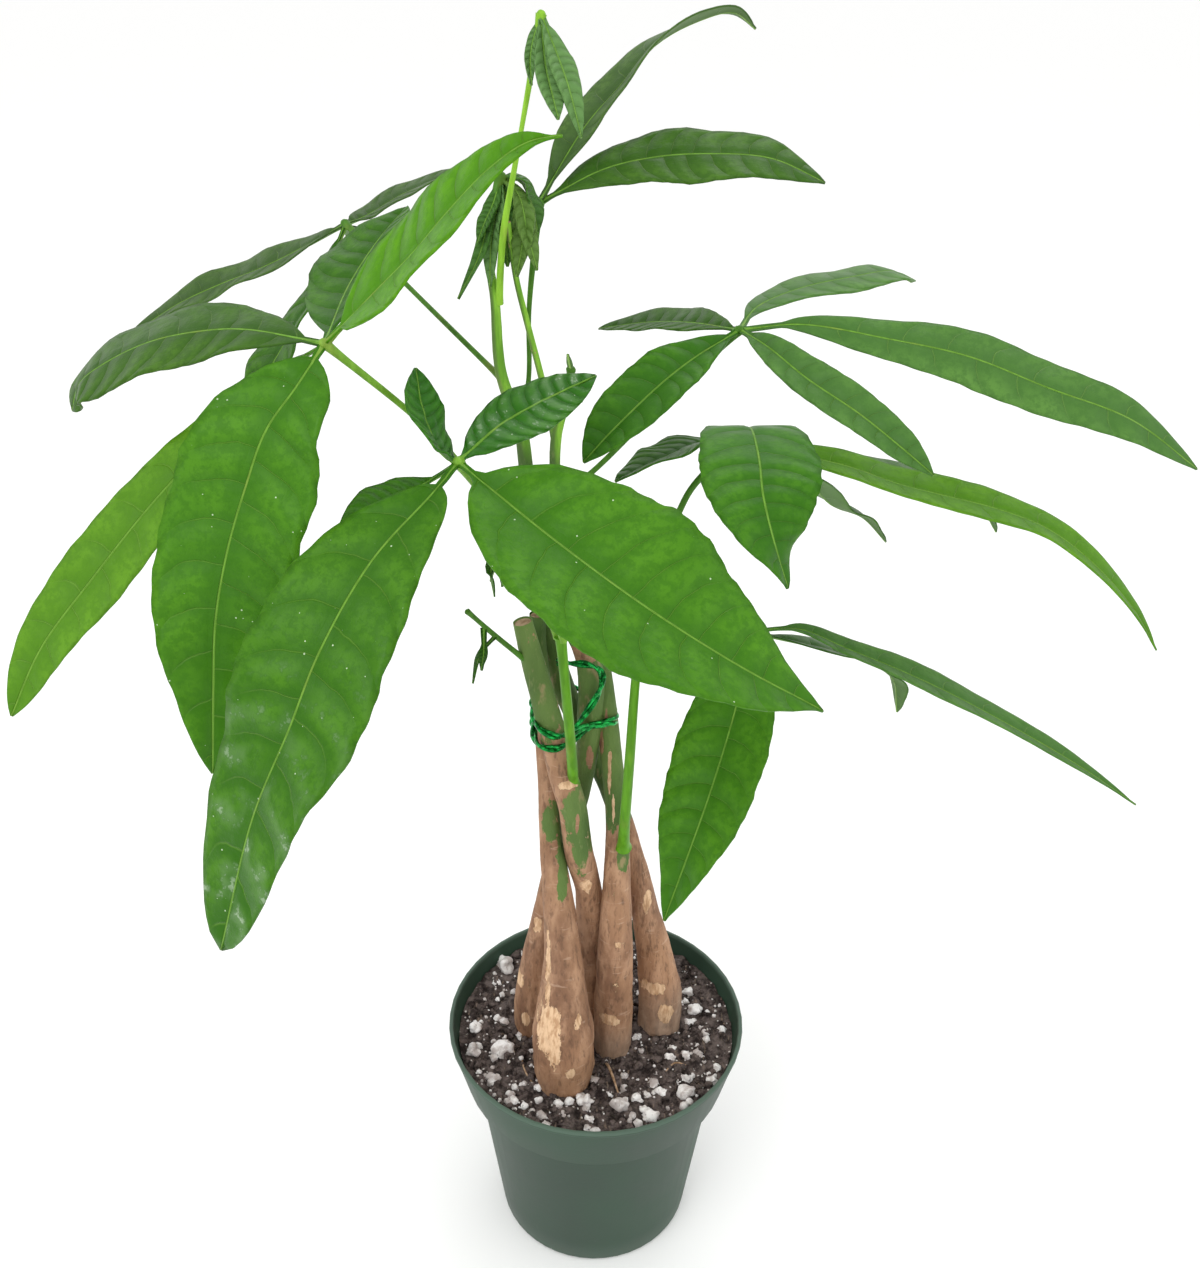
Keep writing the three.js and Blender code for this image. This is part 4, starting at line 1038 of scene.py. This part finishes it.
def make_leaf(name, petiole, blades, green, stalk_green, hub_radius):
    """One palmate leaf: a piece with its blades, and a piece with its stalk, hub and ribs."""
    hub = petiole[-1][:3]
    stalks = bmesh.new()
    layer = stalks.verts.layers.float_color.new("tint")
    stalk_paint = plain_paint(stalk_green)
    tube(stalks, petiole, STEM_SIDES, STEM_ROW, None, (0.45, 0.5), stalk_paint, layer)
    for vertex in lump(stalks, hub, 0.9 * hub_radius, 3, (1, 1, 0.85), 0.15):
        vertex[layer] = stalk_paint(None, None)
    sheets = bmesh.new()
    layers = {
        "tint": sheets.verts.layers.float_color.new("tint"),
        "shine": sheets.verts.layers.float.new("shine"),
        "vein": sheets.loops.layers.uv.new("vein"),
        "size": sheets.loops.layers.uv.new("size"),
    }
    for shape in blades:
        shape = {**shape, "green": shape["green"] or green}
        curve = leaflet(sheets, layers, shape["start"] or hub, shape)
        raised_rib(stalks, layer, curve, shape)
    finish_piece(stalks, name + "_stalk", [GREEN_STEM], [name])
    piece = finish_piece(sheets, name + "_blades", [LEAF_UPPER, LEAF_UNDER], [name], 180)
    shell = piece.modifiers.new("thickness", "SOLIDIFY")
    shell.thickness = LEAF_THICKNESS * MM
    shell.offset = 0
    shell.material_offset = 1
    shell.material_offset_rim = 0


def make_shoot(name):
    builder = bmesh.new()
    layer = builder.verts.layers.float_color.new("tint")
    tube(builder, SHOOTS[name], SHOOT_SIDES, STEM_ROW, None, (0.35, 0.2), plain_paint("shoot"), layer)
    finish_piece(builder, name + "_skin", [GREEN_STEM], [name])


make_pot()
make_soil()
make_perlite()
make_fine_roots()
for trunk in TRUNKS:
    make_trunk(trunk)
for shoot in SHOOTS:
    make_shoot(shoot)
make_tie()
for leaf_name, leaf_parts in LEAVES.items():
    make_leaf(leaf_name, *leaf_parts)


# Floor, light and camera
CAMERA_PLACE = Vector((-0.0003, -0.338, 0.432))
CAMERA_PITCH = math.radians(29.2)
CAMERA_ROLL = math.radians(0.74)
CAMERA_LENS = 36.91
FLOOR_SIZE = 30.0
WORLD_STRENGTH = 1.03

# Softboxes: name, place, the point that it faces, size in metres and watts
SOFTBOXES = [
    ("key_softbox", (-0.7, -0.9, 1.5), (0, 0, 0.25), 0.9, 8),
    ("front_softbox", (-0.6, -1.3, 0.9), (0, 0, 0.25), 0.5, 2),
    ("fill_softbox", (1.1, -0.5, 0.9), (0, 0, 0.25), 0.9, 2.5),
    ("back_softbox", (0.3, 1.0, 1.4), (0, 0, 0.3), 0.8, 2.5),
]


def make_floor():
    builder = bmesh.new()
    bmesh.ops.create_grid(builder, x_segments=1, y_segments=1, size=FLOOR_SIZE / 2)
    mesh = bpy.data.meshes.new("floor")
    builder.to_mesh(mesh)
    builder.free()
    mesh.materials.append(new_material("white_board", floor_paint))
    add_object("floor", mesh)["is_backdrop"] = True


def aim(direction, up):
    """Rotation that looks along direction, with up as the top of the view."""
    right = direction.cross(up).normalized()
    up = right.cross(direction).normalized()
    return Matrix((right, up, -direction)).transposed().to_4x4()


def make_camera():
    lens = bpy.data.cameras.new("camera")
    lens.lens = CAMERA_LENS
    lens.sensor_width = 36.0
    lens.sensor_fit = "AUTO"
    lens.clip_start = 0.01
    camera = add_object("camera", lens)
    forward = Vector((0, math.cos(CAMERA_PITCH), -math.sin(CAMERA_PITCH)))
    level = Vector((0, math.sin(CAMERA_PITCH), math.cos(CAMERA_PITCH)))
    rolled = level * math.cos(CAMERA_ROLL) - Vector((1, 0, 0)) * math.sin(CAMERA_ROLL)
    camera.matrix_world = Matrix.Translation(CAMERA_PLACE) @ aim(forward, rolled)
    bpy.context.scene.camera = camera


def make_light(name, place, target, size, watts):
    lamp = bpy.data.lights.new(name, "AREA")
    lamp.size = size
    lamp.energy = watts
    light = add_object(name, lamp)
    place = Vector(place)
    forward = (Vector(target) - place).normalized()
    light.matrix_world = Matrix.Translation(place) @ aim(forward, Vector((0, 1, 0.1)))


def make_world():
    world = bpy.data.worlds.new("studio")
    world.use_nodes = True
    background = world.node_tree.nodes["Background"]
    background.inputs["Color"].default_value = linear("ffffff")
    background.inputs["Strength"].default_value = WORLD_STRENGTH
    bpy.context.scene.world = world


make_floor()
make_camera()
make_world()
for softbox in SOFTBOXES:
    make_light(*softbox)
bpy.context.scene.view_settings.view_transform = "Standard"

boxes = {"cad": cad_box, "visual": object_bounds()}
{name: [list(corner) for corner in box] for name, box in boxes.items()}
